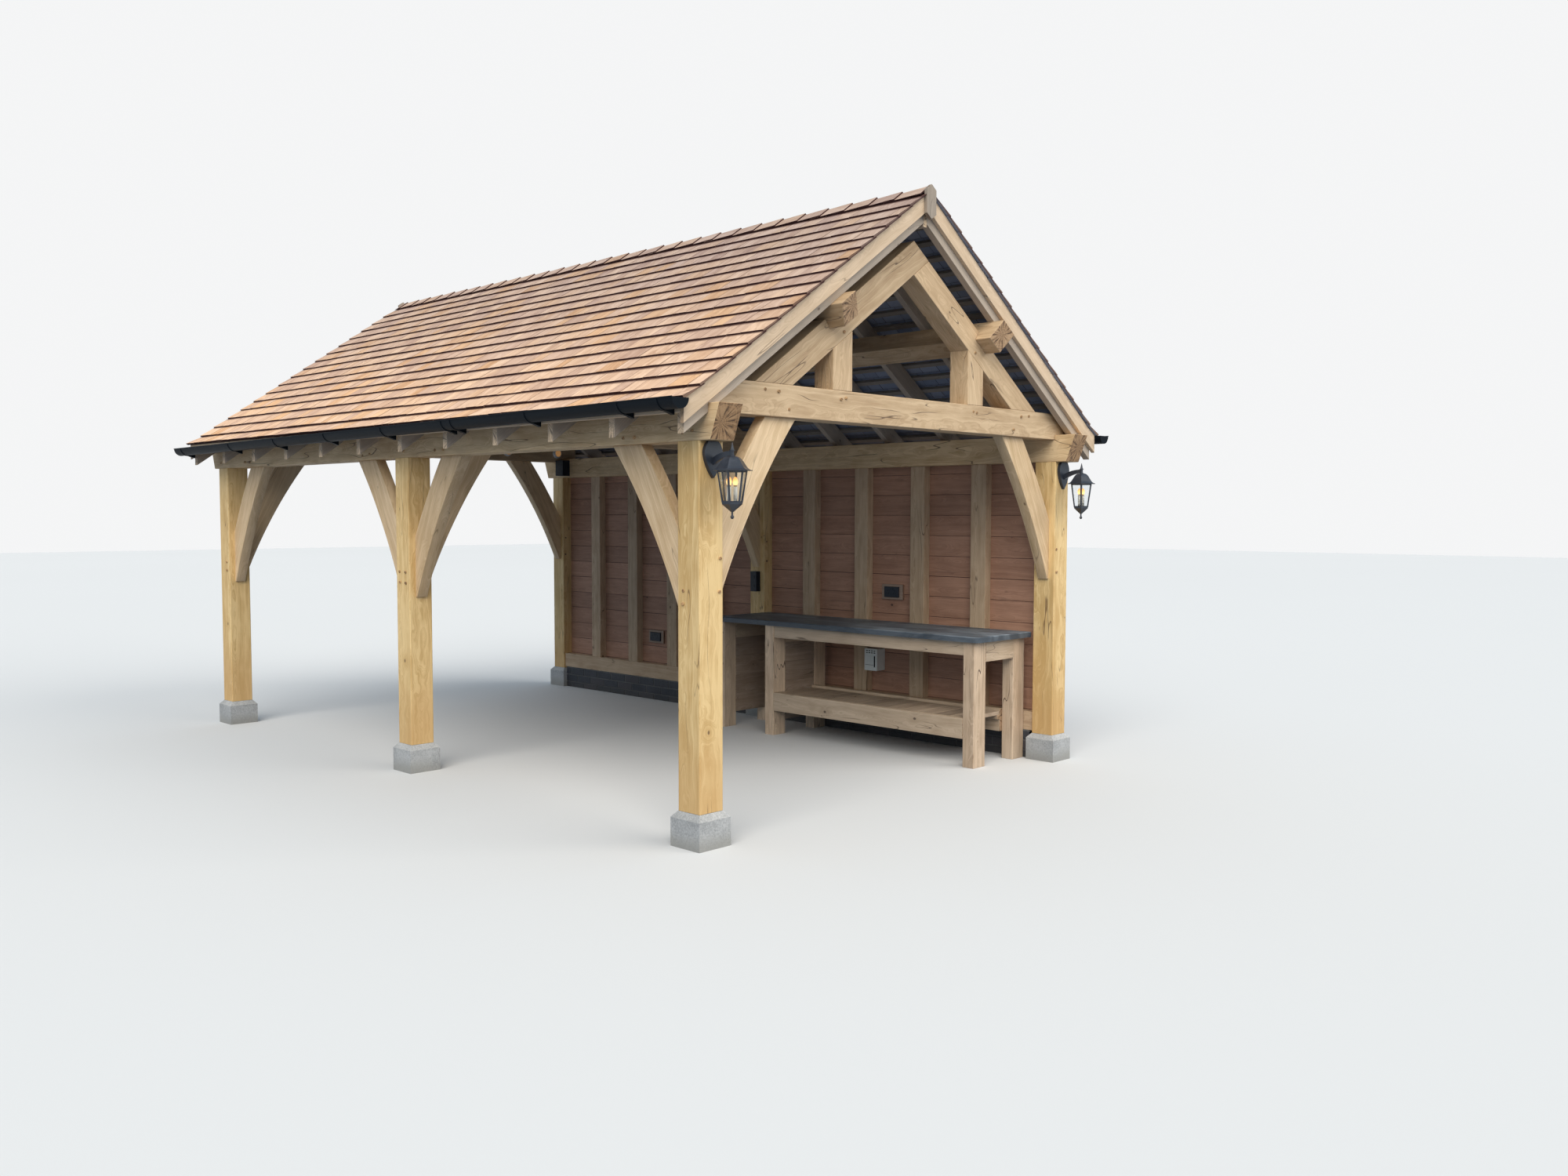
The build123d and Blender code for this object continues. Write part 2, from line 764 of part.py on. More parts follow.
# Counter legs: pairs of front and back legs under both ends of the slab and beside the clear space
slab_bottom = counter_top - slab_thickness
leg_back = plinth_face
leg_front = leg_back - counter_leg_reach
leg_places = [
    front + counter_start + leg_inset,
    front + middle_leg_start,
    front + counter_end - leg_end_inset - leg_thickness,
]
first_leg, middle_leg, last_leg = leg_places
with BuildPart() as counter_legs:
    with BuildSketch():
        for place in leg_places:
            for leg_x in (leg_front, leg_back - leg_width):
                with Locations((leg_x, place)):
                    Rectangle(leg_width, leg_thickness, align=(Align.MIN, Align.MIN))
    extrude(amount=slab_bottom)
    chamfer(counter_legs.edges().filter_by(Axis.Z), length=leg_arris)
counter_legs.part.label = "counter_legs"
export_step(counter_legs.part, "parts/counter_legs.step")

# Counter rails: apron and shelf rails between the long-side legs, deep rails across each pair
shelf_start = first_leg + leg_thickness
shelf_end = middle_leg
shelf_length = shelf_end - shelf_start
shelf_under = shelf_top - slat_thickness
shelf_rail_bottom = shelf_top - shelf_rail_depth
back_rail_x = leg_back - shelf_back_gap - rail_thickness / 2
slat_front = leg_front + rail_thickness
corner_low = (Align.MIN, Align.MIN, Align.MIN)
with BuildPart() as counter_rails:
    with Locations((leg_front + rail_setback, shelf_start, slab_bottom - rail_depth)):
        Box(rail_thickness, shelf_length, rail_depth, align=corner_low)
    with Locations((leg_front, shelf_start, shelf_rail_bottom)):
        Box(rail_thickness, shelf_length, shelf_rail_depth, align=corner_low)
    with Locations((back_rail_x, shelf_start, shelf_rail_bottom)):
        Box(rail_thickness, shelf_length, shelf_rail_depth + shelf_back_upstand, align=corner_low)
    for ledger_x in (slat_front, back_rail_x - ledger_size):
        with Locations((ledger_x, shelf_start, shelf_under - ledger_size)):
            Box(ledger_size, shelf_length, ledger_size, align=corner_low)
    for place in leg_places:
        with Locations((leg_front + leg_width, place, slab_bottom - shelf_rail_depth)):
            Box(counter_leg_reach - 2 * leg_width, rail_thickness, shelf_rail_depth, align=corner_low)
counter_rails.part.label = "counter_rails"
export_step(counter_rails.part, "parts/counter_rails.step")

# Shelf slats lie from the front rail to the back rail on the ledgers
slat_width = (shelf_length - (slat_count + 1) * slat_gap) / slat_count
with BuildPart() as counter_shelf:
    for number in range(slat_count):
        slat_start = shelf_start + slat_gap + number * (slat_width + slat_gap)
        with Locations((slat_front, slat_start, shelf_under)):
            Box(back_rail_x - slat_front, slat_width, slat_thickness, align=corner_low)
counter_shelf.part.label = "counter_shelf"
export_step(counter_shelf.part, "parts/counter_shelf.step")

# Boarded panels close the middle and last pairs of legs below their rails
panel_top = slab_bottom - shelf_rail_depth
with BuildPart() as counter_panels:
    for place in (middle_leg, last_leg):
        with Locations((leg_front + leg_width, place, panel_bottom)):
            Box(
                counter_leg_reach - 2 * leg_width,
                panel_board_thickness,
                panel_top - panel_bottom,
                align=corner_low,
            )
counter_panels.part.label = "counter_panels"
export_step(counter_panels.part, "parts/counter_panels.step")

# Counter slab with rounded front corners and eased arrises
slab_front = leg_front - slab_overhang_front
with BuildPart() as counter_slab:
    with Locations((slab_front, front + counter_start, slab_bottom)):
        Box(wall_face - slab_front, counter_end - counter_start, slab_thickness, align=corner_low)
    front_corners = counter_slab.edges().filter_by(Axis.Z).group_by(Axis.X)[0]
    fillet(front_corners, radius=slab_corner)
    chamfer(counter_slab.faces().sort_by(Axis.Z)[-1].edges(), length=slab_arris)
counter_slab.part.label = "counter_slab"
export_step(counter_slab.part, "parts/counter_slab.step")

# Lanterns: a six-sided lantern on a bracket on the front face of each front corner post
lantern_y = front - lantern_out
lantern_brim_height = post_top - lantern_brim_drop
cage_foot = lantern_brim_height - lantern_cage_height
candle_top = cage_foot + candle_height
six_half_angle = math.radians(30)
bar_inset = lantern_bar / math.cos(six_half_angle)
glass_inset = lantern_glass_thickness / math.cos(six_half_angle)
brim_apothem = lantern_brim_radius * math.cos(six_half_angle)
cap_top = lantern_brim_height + lantern_cap_height
neck_top = cap_top + lantern_neck_height
window_low = (lantern_foot_radius - lantern_bar) / 2
window_high = (lantern_cage_radius - lantern_bar) / 2
cup_end = cage_foot - lantern_cup_height
ball_height = cage_foot - lantern_ball_drop
plate_face = lantern_out - lantern_plate_thickness
arm_low_start = lantern_brim_height + lantern_arm_low
arm_high_end = neck_top - lantern_ring_height
arm_low_middle = (plate_face / 2, (arm_low_start + cap_top + lantern_ring_height) / 2 + lantern_arm_bow)
arm_high_middle = (
    plate_face / 2,
    (arm_low_start + lantern_arm_root + arm_high_end) / 2 + lantern_arm_bow,
)
lantern_plate_top = post_top - lantern_plate_gap
plate_widest = (lantern_plate_width / 2, lantern_plate_top - lantern_plate_waist)
plate_upper_middle = (
    (lantern_plate_shoulder + lantern_plate_width / 2) / 2 + lantern_plate_bow,
    lantern_plate_top - lantern_plate_waist / 2 + lantern_plate_bow,
)
plate_lower_middle = (
    lantern_plate_width / 3,
    lantern_plate_top - (lantern_plate_waist + lantern_plate_height) / 2,
)


def taper_between(low, high, low_radius, high_radius, sides=6, mode=Mode.ADD):
    """Straight-sided solid tapering between two heights, with corners towards the post and away from it."""
    rings = []
    for height, radius in ((low, low_radius), (high, high_radius)):
        with BuildSketch(Plane.XY.offset(height)) as ring:
            RegularPolygon(radius, sides, rotation=180 / sides)
        rings.append(ring.sketch)
    loft(rings, ruled=True, mode=mode)


# One lantern body about its own upright centre line: cap, neck and finial, cage, cup, arm and back plate
with BuildPart() as lantern_body:
    for turn, mode in ((0, Mode.ADD), (60, Mode.INTERSECT), (120, Mode.INTERSECT)):
        with BuildSketch(Plane.XZ.rotated((0, 0, turn))):
            with BuildLine():
                Polyline(
                    (0, cap_top),
                    (0, lantern_brim_height),
                    (brim_apothem, lantern_brim_height),
                    (brim_apothem, lantern_brim_height + lantern_brim_edge),
                )
                Bezier(
                    (brim_apothem, lantern_brim_height + lantern_brim_edge),
                    (lantern_cap_waist, lantern_brim_height + lantern_brim_edge),
                    (lantern_cap_waist, cap_top),
                    (lantern_ring_radius, cap_top),
                )
                Line((lantern_ring_radius, cap_top), (0, cap_top))
            make_face()
            mirror(about=Plane.YZ)
        extrude(amount=2 * lantern_brim_radius, both=True, mode=mode)
    for low, high, low_radius, high_radius in (
        (cap_top, cap_top + lantern_ring_height, lantern_ring_radius, lantern_ring_radius),
        (cap_top, neck_top, lantern_neck_radius, lantern_neck_radius),
        (neck_top - lantern_ring_height, neck_top, lantern_ring_radius, lantern_ring_radius),
        (neck_top, neck_top + lantern_finial_height, lantern_neck_radius, lantern_tip_radius),
        (ball_height, cup_end + lantern_ring_height, lantern_stem_radius, lantern_stem_radius),
        (ball_height - lantern_ball_radius, ball_height, lantern_stem_radius, lantern_ball_radius),
        (ball_height, ball_height + lantern_ball_radius, lantern_ball_radius, lantern_stem_radius),
    ):
        taper_between(low, high, low_radius, high_radius, sides=turned_sides)
    taper_between(cage_foot, lantern_brim_height, lantern_foot_radius, lantern_cage_radius)
    taper_between(
        cage_foot,
        lantern_brim_height,
        lantern_foot_radius - bar_inset,
        lantern_cage_radius - bar_inset,
        mode=Mode.SUBTRACT,
    )
    for turn in (0, 60, 120):
        with BuildSketch(Plane.YZ.rotated((0, 0, turn))):
            with BuildLine():
                Polyline(
                    (-window_low, cage_foot + lantern_bar),
                    (window_low, cage_foot + lantern_bar),
                    (window_high, lantern_brim_height - lantern_bar),
                    (-window_high, lantern_brim_height - lantern_bar),
                    close=True,
                )
            make_face()
        extrude(amount=lantern_cage_radius, both=True, mode=Mode.SUBTRACT)
    taper_between(cage_foot - lantern_base_thickness, cage_foot, lantern_foot_radius, lantern_foot_radius)
    taper_between(cup_end, cage_foot - lantern_base_thickness, lantern_cup_end_radius, lantern_foot_radius)
    with BuildSketch(Plane.YZ):
        with BuildLine():
            Line((0, cap_top + lantern_ring_height), (0, arm_high_end))
            ThreePointArc((0, arm_high_end), arm_high_middle, (plate_face, arm_low_start + lantern_arm_root))
            Line((plate_face, arm_low_start + lantern_arm_root), (plate_face, arm_low_start))
            ThreePointArc((plate_face, arm_low_start), arm_low_middle, (0, cap_top + lantern_ring_height))
        make_face()
    extrude(amount=lantern_arm_thickness / 2, both=True)
    with BuildSketch(Plane.XZ.offset(-lantern_out)):
        with BuildLine():
            Polyline(
                (0, lantern_plate_top - lantern_plate_height),
                (0, lantern_plate_top),
                (lantern_plate_shoulder, lantern_plate_top),
            )
            ThreePointArc((lantern_plate_shoulder, lantern_plate_top), plate_upper_middle, plate_widest)
            ThreePointArc(
                plate_widest,
                plate_lower_middle,
                (0, lantern_plate_top - lantern_plate_height),
            )
        make_face()
        mirror(about=Plane.YZ)
    extrude(amount=lantern_plate_thickness)

lantern_spots = [(side * plate_half, lantern_y) for side in (-1, 1)]
with BuildPart() as lantern_frames:
    with Locations(*lantern_spots):
        add(lantern_body.part)
lantern_frames.part.label = "lantern_frames"
export_step(lantern_frames.part, "parts/lantern_frames.step")

# Lantern glass: one tapering six-sided shell behind the bars of each cage
with BuildPart() as glass_shell:
    taper_between(
        cage_foot,
        lantern_brim_height,
        lantern_foot_radius - bar_inset,
        lantern_cage_radius - bar_inset,
    )
    taper_between(
        cage_foot,
        lantern_brim_height,
        lantern_foot_radius - bar_inset - glass_inset,
        lantern_cage_radius - bar_inset - glass_inset,
        mode=Mode.SUBTRACT,
    )
with BuildPart() as lantern_glass:
    with Locations(*lantern_spots):
        add(glass_shell.part)
lantern_glass.part.label = "lantern_glass"
export_step(lantern_glass.part, "parts/lantern_glass.step")

# Lamps: two candle tubes with bulbs standing on the base of each cage
with BuildPart() as candle:
    taper_between(cage_foot, candle_top, candle_radius, candle_radius, sides=turned_sides)
    taper_between(candle_top, candle_top + bulb_height, bulb_radius, bulb_tip_radius, sides=turned_sides)
with BuildPart() as lantern_lamps:
    for x, y in lantern_spots:
        with Locations((x - candle_spacing / 2, y), (x + candle_spacing / 2, y)):
            add(candle.part)
lantern_lamps.part.label = "lantern_lamps"
export_step(lantern_lamps.part, "parts/lantern_lamps.step")

# Oak backing blocks of the wall sockets, on the boards midway between the two middle studs of each bay
middle_studs = [stud_places[stud_count // 2], stud_places[stud_count + stud_count // 2]]
socket_spots = [
    (middle_studs[0] - stud_gap / 2, front_socket_z),
    (middle_studs[1] - stud_gap / 2, rear_socket_z),
]
switch_y = post_places[1] + post_size / 2
with BuildPart() as socket_backs:
    for y, z in socket_spots:
        with Locations((board_face - pattress_depth / 2, y, z)):
            Box(pattress_depth, pattress_width, pattress_height)
socket_backs.part.label = "socket_backs"
export_step(socket_backs.part, "parts/socket_backs.step")

# Twin sockets on their blocks and one upright double switch box on the middle post
with BuildPart() as socket_plates:
    for y, z in socket_spots:
        with Locations((board_face - pattress_depth - socket_depth / 2, y, z)):
            Box(socket_depth, socket_width, socket_height)
    with Locations((half_span - switch_depth / 2, switch_y, switch_z)):
        Box(switch_depth, switch_width, switch_height)
    chamfer(socket_plates.faces().filter_by(Axis.X).group_by(SortBy.AREA)[0].edges(), length=fitting_arris)
socket_plates.part.label = "socket_plates"
export_step(socket_plates.part, "parts/socket_plates.step")

# Supply box on the boards above the shelf, close beside a stud
supply_box_y = middle_studs[0] - supply_box_gap - supply_box_width / 2
with BuildPart() as supply_box:
    with Locations((board_face - supply_box_depth / 2, supply_box_y, supply_box_z)):
        Box(supply_box_depth, supply_box_width, supply_box_height)
    fillet(supply_box.edges().filter_by(Axis.X), radius=2 * fitting_arris)
supply_box.part.label = "supply_box"
export_step(supply_box.part, "parts/supply_box.step")

# Loudspeaker on the inner face of the boarded side's wall plate, beside the rear tie beam
with BuildPart() as speaker:
    speaker_centre = (
        half_span - speaker_depth / 2,
        post_places[-1] + truss_setback - speaker_gap - speaker_width / 2,
        plate_top - speaker_drop - speaker_height / 2,
    )
    with Locations(speaker_centre):
        Box(speaker_depth, speaker_width, speaker_height)
    fillet(speaker.edges().filter_by(Axis.X), radius=2 * fitting_arris)
speaker.part.label = "speaker"
export_step(speaker.part, "parts/speaker.step")

# Round lamps on the front face of the rear tie beam
with BuildPart() as round_lamps:
    with BuildSketch(across(post_places[-1] + truss_setback)):
        for inset in lamp_insets:
            with Locations((half_span - inset, tie_bottom + tie_height / 2)):
                Circle(lamp_radius)
    extrude(amount=lamp_depth, taper=20)
round_lamps.part.label = "round_lamps"
export_step(round_lamps.part, "parts/round_lamps.step")
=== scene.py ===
import math
import random
import bmesh
import bpy
import numpy as np
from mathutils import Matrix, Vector


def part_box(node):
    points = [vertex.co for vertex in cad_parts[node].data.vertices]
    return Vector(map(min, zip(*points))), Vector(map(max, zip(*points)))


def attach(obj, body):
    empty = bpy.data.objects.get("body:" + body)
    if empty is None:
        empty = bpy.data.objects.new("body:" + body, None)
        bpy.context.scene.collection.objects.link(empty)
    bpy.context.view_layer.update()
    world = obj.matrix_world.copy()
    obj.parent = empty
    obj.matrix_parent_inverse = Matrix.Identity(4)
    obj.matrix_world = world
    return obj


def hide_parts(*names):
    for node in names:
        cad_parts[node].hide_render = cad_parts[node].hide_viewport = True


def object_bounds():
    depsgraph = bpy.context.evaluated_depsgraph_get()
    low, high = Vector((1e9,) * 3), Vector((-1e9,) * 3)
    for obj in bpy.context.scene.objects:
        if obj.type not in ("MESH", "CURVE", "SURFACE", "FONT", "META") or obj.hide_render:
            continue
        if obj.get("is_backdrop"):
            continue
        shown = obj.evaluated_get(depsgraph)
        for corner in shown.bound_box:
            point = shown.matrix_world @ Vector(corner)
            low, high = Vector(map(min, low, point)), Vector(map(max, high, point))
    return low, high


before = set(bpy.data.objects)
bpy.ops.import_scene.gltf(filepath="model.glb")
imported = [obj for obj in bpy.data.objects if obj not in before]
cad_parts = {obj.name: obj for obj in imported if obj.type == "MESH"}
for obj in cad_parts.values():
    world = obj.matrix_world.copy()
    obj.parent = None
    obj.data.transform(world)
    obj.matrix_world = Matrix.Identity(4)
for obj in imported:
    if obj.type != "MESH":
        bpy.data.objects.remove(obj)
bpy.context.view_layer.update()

# Camera: a wide lens at eye height off the front left corner, looking at the boarded side across the
# open bays, nearly level.
lens = bpy.data.cameras.new("lens")
lens.sensor_width = 36.0
lens.lens = 29.12
camera = bpy.data.objects.new("camera", lens)
camera.location = (-6.4193, -8.0461, 1.8108)
camera.rotation_euler = (math.pi / 2 - 0.0564, -0.0022, -0.8056)
bpy.context.collection.objects.link(camera)
bpy.context.scene.camera = camera
bpy.context.scene.view_settings.view_transform = "Standard"


# Floor and daylight: a pale level floor under an even sky, with two broad soft lights, a stronger one
# from the open side and a weaker one from the front gable.
def fill(tree, socket, value):
    """Give a shader input its value: an output is linked, a colour of three numbers is made solid."""
    if isinstance(value, bpy.types.NodeSocket):
        tree.links.new(value, socket)
    elif socket.type == "RGBA":
        socket.default_value = (*value, 1.0)
    else:
        socket.default_value = value


def node(tree, kind, values=None, **settings):
    """Add one shader node with its settings; values go to its inputs by name or number."""
    made = tree.nodes.new("ShaderNode" + kind)
    for key, value in settings.items():
        setattr(made, key, value)
    for key, value in (values or {}).items():
        fill(tree, made.inputs[key], value)
    return made


def blend(tree, amount, low, high, mode="MIX"):
    """Mix two colours by an amount."""
    return node(tree, "Mix", {0: amount, 6: low, 7: high}, data_type="RGBA", blend_type=mode).outputs[2]


def sums(tree, operation, *values, clamp=False):
    """One step of arithmetic."""
    return node(tree, "Math", dict(enumerate(values)), operation=operation, use_clamp=clamp).outputs[0]


def times(tree, first, second):
    """First times second."""
    return sums(tree, "MULTIPLY", first, second)


def times_plus(tree, first, second, third):
    """First times second, plus third."""
    return sums(tree, "MULTIPLY_ADD", first, second, third)


def spread(tree, value, low, high, to_low=0.0, to_high=1.0):
    """Smooth step of a value from one range to another."""
    values = dict(enumerate((value, low, high, to_low, to_high)))
    return node(tree, "MapRange", values, interpolation_type="SMOOTHSTEP").outputs[0]


def noise(tree, scale, detail, where=None, **more):
    """Cloudy values between 0 and 1."""
    values = {"Scale": scale, "Detail": detail, **more}
    if where is not None:
        values["Vector"] = where
    return node(tree, "TexNoise", values).outputs["Fac"]


def new_material(name):
    """Empty node material; gives it with its tree and its output."""
    made = bpy.data.materials.new(name)
    made.use_nodes = True
    made.node_tree.nodes.clear()
    return made, made.node_tree, node(made.node_tree, "OutputMaterial")


def shade(tree, output, colour, roughness, height=None, depth=0.002, **plain):
    """End a material in its shader, with relief from a height and plain values on the shader itself."""
    values = {"Base Color": colour, "Roughness": roughness}
    if height is not None:
        values["Normal"] = node(tree, "Bump", {"Height": height, "Distance": depth}).outputs[0]
    for key, value in plain.items():
        values[key.replace("_", " ")] = value
    tree.links.new(node(tree, "BsdfPrincipled", values).outputs[0], output.inputs[0])


floor_finish, tree, output = new_material("pale_floor")
path = node(tree, "LightPath").outputs
seen = sums(tree, "MAXIMUM", path["Is Camera Ray"], path["Is Glossy Ray"])
floor_pale = blend(tree, noise(tree, 6.0, 5.0), (0.685, 0.685, 0.68), (0.71, 0.71, 0.705))
shade(tree, output, blend(tree, seen, (0.16, 0.19, 0.245), floor_pale), 0.9, Specular_IOR_Level=0.2)
far = 60.0
floor_mesh = bpy.data.meshes.new("floor")
floor_mesh.from_pydata([(-far, -far, 0), (far, -far, 0), (far, far, 0), (-far, far, 0)], [], [(0, 1, 2, 3)])
floor_mesh.materials.append(floor_finish)
floor = bpy.data.objects.new("floor", floor_mesh)
bpy.context.collection.objects.link(floor)
floor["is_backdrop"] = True

sky = bpy.data.worlds.new("sky")
bpy.context.scene.world = sky
sky.use_nodes = True
tree = sky.node_tree
tree.nodes.clear()
path = node(tree, "LightPath").outputs
seen = sums(tree, "MAXIMUM", path["Is Camera Ray"], path["Is Transmission Ray"])
even = node(tree, "Background", {"Color": (0.71, 0.85, 1.0), "Strength": 0.60})
white = node(tree, "Background", {"Color": (0.91, 0.915, 0.92), "Strength": 1.0})
either = node(tree, "MixShader", {0: seen, 1: even.outputs[0], 2: white.outputs[0]})
tree.links.new(either.outputs[0], node(tree, "OutputWorld").inputs[0])

for name, towards, strength, tint in (
    ("open_side_light", (0.62, 0.45, -0.64), 2.6, (1.0, 0.95, 0.87)),
    ("gable_light", (-0.35, 0.80, -0.49), 1.5, (1.0, 0.94, 0.85)),
):
    lamp = bpy.data.lights.new(name, "SUN")
    lamp.angle = math.radians(50)
    lamp.energy = strength
    lamp.color = tint
    held = bpy.data.objects.new(name, lamp)
    held.rotation_euler = Vector(towards).to_track_quat("-Z", "Y").to_euler()
    bpy.context.collection.objects.link(held)


# Padstones: six cast concrete blocks, pale grey, with a chamfered top. The faces show fine pits and
# aggregate, and a little damp staining near the ground.
def add_group(name, inputs):
    """Shader group with named inputs, numbers or colours; it puts out a colour, roughness and height."""
    group = bpy.data.node_groups.new(name, "ShaderNodeTree")
    for title, value in inputs.items():
        kind = "Color" if isinstance(value, tuple) else "Float"
        socket = group.interface.new_socket(title, in_out="INPUT", socket_type="NodeSocket" + kind)
        socket.default_value = (*value, 1.0) if kind == "Color" else value
    for title, kind in (("Color", "Color"), ("Roughness", "Float"), ("Height", "Float")):
        group.interface.new_socket(title, in_out="OUTPUT", socket_type="NodeSocket" + kind)
    return group, group.nodes.new("NodeGroupInput").outputs, group.nodes.new("NodeGroupOutput").inputs


def give_out(tree, target, *results):
    """Link the colour, roughness and height that a group puts out."""
    for result, socket in zip(results, target):
        tree.links.new(result, socket)


def use_group(tree, group, values):
    """Place a group in a material with its own values; gives what it puts out."""
    return node(tree, "Group", values, node_tree=group).outputs


def finish(name, group, values, depth=0.002, **plain):
    """Material whose colour, roughness and relief come from one group."""
    made, tree, output = new_material(name)
    surface = use_group(tree, group, values)
    shade(tree, output, surface["Color"], surface["Roughness"], surface["Height"], depth, **plain)
    return made


def dress(node_name, material):
    """Give a solid of the frame its finish in its own material slots."""
    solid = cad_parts[node_name]
    for held in solid.material_slots:
        held.material = material
    if not solid.material_slots:
        solid.data.materials.append(material)


def own_place(tree):
    """Place in the frame."""
    return node(tree, "TexCoord").outputs["Object"]


def parts(tree, vector):
    """The three parts of a place or a direction."""
    return node(tree, "SeparateXYZ", {0: vector}).outputs


mineral_inputs = {
    "Pale": (0.5, 0.5, 0.5), "Deep": (0.3, 0.3, 0.3), "Stain": (0.3, 0.3, 0.3),
    "Grain Scale": 90.0, "Stain Height": 0.1, "Pits": 0.5, "Gloss": 0.85,
}
mineral, source, target = add_group("mineral_surface", mineral_inputs)
where = own_place(mineral)
speckle = noise(mineral, source["Grain Scale"], 4.0, where)
cloud = noise(mineral, 5.0, 5.0, where, Roughness=0.6)
holes = node(mineral, "TexVoronoi", {"Vector": where, "Scale": 75.0}).outputs["Distance"]
pits = times(mineral, spread(mineral, holes, 0.10, 0.24, 1.0, 0.0), source["Pits"])
level = times_plus(mineral, cloud, -0.12, parts(mineral, where)[2])
damp = spread(mineral, level, -0.06, source["Stain Height"], 1.0, 0.0)
mottle = times_plus(mineral, cloud, 0.55, times(mineral, speckle, 0.55))
tone = blend(mineral, spread(mineral, mottle, 0.36, 0.72), source["Deep"], source["Pale"])
tone = blend(mineral, times(mineral, damp, 0.75), tone, source["Stain"])
tone = blend(mineral, times(mineral, pits, 0.6), tone, source["Deep"])
rough = sums(mineral, "ADD", times_plus(mineral, speckle, 0.2, source["Gloss"]), -0.1, clamp=True)
relief = times_plus(mineral, speckle, 0.6, times(mineral, pits, -0.8))
give_out(mineral, target, tone, rough, relief)

cast_concrete = finish(
    "cast_concrete",
    mineral,
    {
        "Pale": (0.50, 0.505, 0.50), "Deep": (0.30, 0.305, 0.305), "Stain": (0.30, 0.29, 0.26),
        "Grain Scale": 110.0, "Stain Height": 0.05, "Pits": 0.8, "Gloss": 0.86,
    },
    depth=0.0015,
)
dress("padstones", cast_concrete)

# Posts: six sawn green-oak posts, 175 mm square with eased arrises, honey coloured and warmer towards
# the foot. They stand on the padstones and are tenoned into the wall plates.
sawn_inputs = {
    "Pale": (0.7, 0.5, 0.3), "Deep": (0.5, 0.3, 0.2), "Dark": (0.1, 0.05, 0.03),
    "Figure": 1.0, "Knots": 1.0, "Shakes": 1.0, "Variety": 1.0, "Gloss": 0.7,
    "End Tint": (0.86, 0.73, 0.62),
}
sawn, source, target = add_group("sawn_timber", sawn_inputs)


def marked(tree, title, result="Fac"):
    """What the mesh keeps under a name."""
    return node(tree, "Attribute", attribute_name=title).outputs[result]


grain_place = marked(sawn, "grain", "Vector")


def stretched(cross, along):
    """Place in the timber, scaled across and along its grain."""
    values = {0: grain_place, 1: (cross, cross, along)}
    return node(sawn, "VectorMath", values, operation="MULTIPLY").outputs[0]


def grain_noise(cross, along, detail, scale=1.0):
    """Noise drawn out along the grain."""
    return noise(sawn, scale, detail, stretched(cross, along))


def from_half(value):
    """How far a value is from a half, below or above."""
    return sums(sawn, "ABSOLUTE", sums(sawn, "SUBTRACT", value, 0.5))


# knots in some of the cells, each with a halo in which the rings bend round it
cells = node(sawn, "TexVoronoi", {"Vector": stretched(5.2, 3.6), "Scale": 1.0, "Randomness": 1.0}).outputs
chance = node(sawn, "SeparateColor", {0: cells["Color"]}).outputs[0]
chosen = times(sawn, sums(sawn, "GREATER_THAN", chance, 0.60), source["Knots"])
knot = times(sawn, spread(sawn, cells["Distance"], 0.030, 0.066, 1.0, 0.0), chosen)
halo = times(sawn, spread(sawn, cells["Distance"], 0.05, 0.34, 1.0, 0.0), chosen)
around = parts(sawn, grain_place)
reach = node(sawn, "CombineXYZ", {0: around[0], 1: around[1]}).outputs[0]
reach = node(sawn, "VectorMath", {0: reach}, operation="LENGTH").outputs["Value"]
for bend, amount in ((grain_noise(4.6, 1.9, 3.0), 0.10), (grain_noise(20.0, 9.0, 2.0), 0.014), (halo, 0.030)):
    reach = times_plus(sawn, bend, amount, reach)
ring_place = node(sawn, "CombineXYZ", {0: times(sawn, reach, 95.0), 2: 3.0}).outputs[0]
rings = noise(sawn, 1.0, 2.0, ring_place)

# figure: rings and their dark late wood, streaks, fibres and broad patches
fibre = grain_noise(330.0, 9.0, 3.0)
figure = times(sawn, spread(sawn, rings, 0.38, 0.66), 0.30)
for part, share in (
    (spread(sawn, from_half(rings), 0.0, 0.045, 1.0, 0.0), 0.30),
    (spread(sawn, grain_noise(38.0, 3.2, 4.0), 0.36, 0.68), 0.26),
    (fibre, 0.24),
    (sums(sawn, "SUBTRACT", grain_noise(3.5, 1.0, 3.0), 0.5), 1.1),
    (sums(sawn, "SUBTRACT", grain_noise(13.0, 7.0, 4.0), 0.5), 0.8),
):
    figure = times_plus(sawn, part, share, figure)
figure = times_plus(sawn, sums(sawn, "SUBTRACT", figure, 0.5), source["Figure"], 0.45)
tone = blend(sawn, sums(sawn, "ADD", figure, 0.0, clamp=True), source["Pale"], source["Deep"])
crack = spread(sawn, from_half(grain_noise(8.0, 0.85, 2.0)), 0.0012, 0.0055, 1.0, 0.0)
crack = times(sawn, crack, spread(sawn, grain_noise(3.1, 1.7, 1.0, scale=1.3), 0.49, 0.58))
crack = times(sawn, crack, source["Shakes"])
tone = blend(sawn, times(sawn, halo, 0.5), tone, source["Deep"])

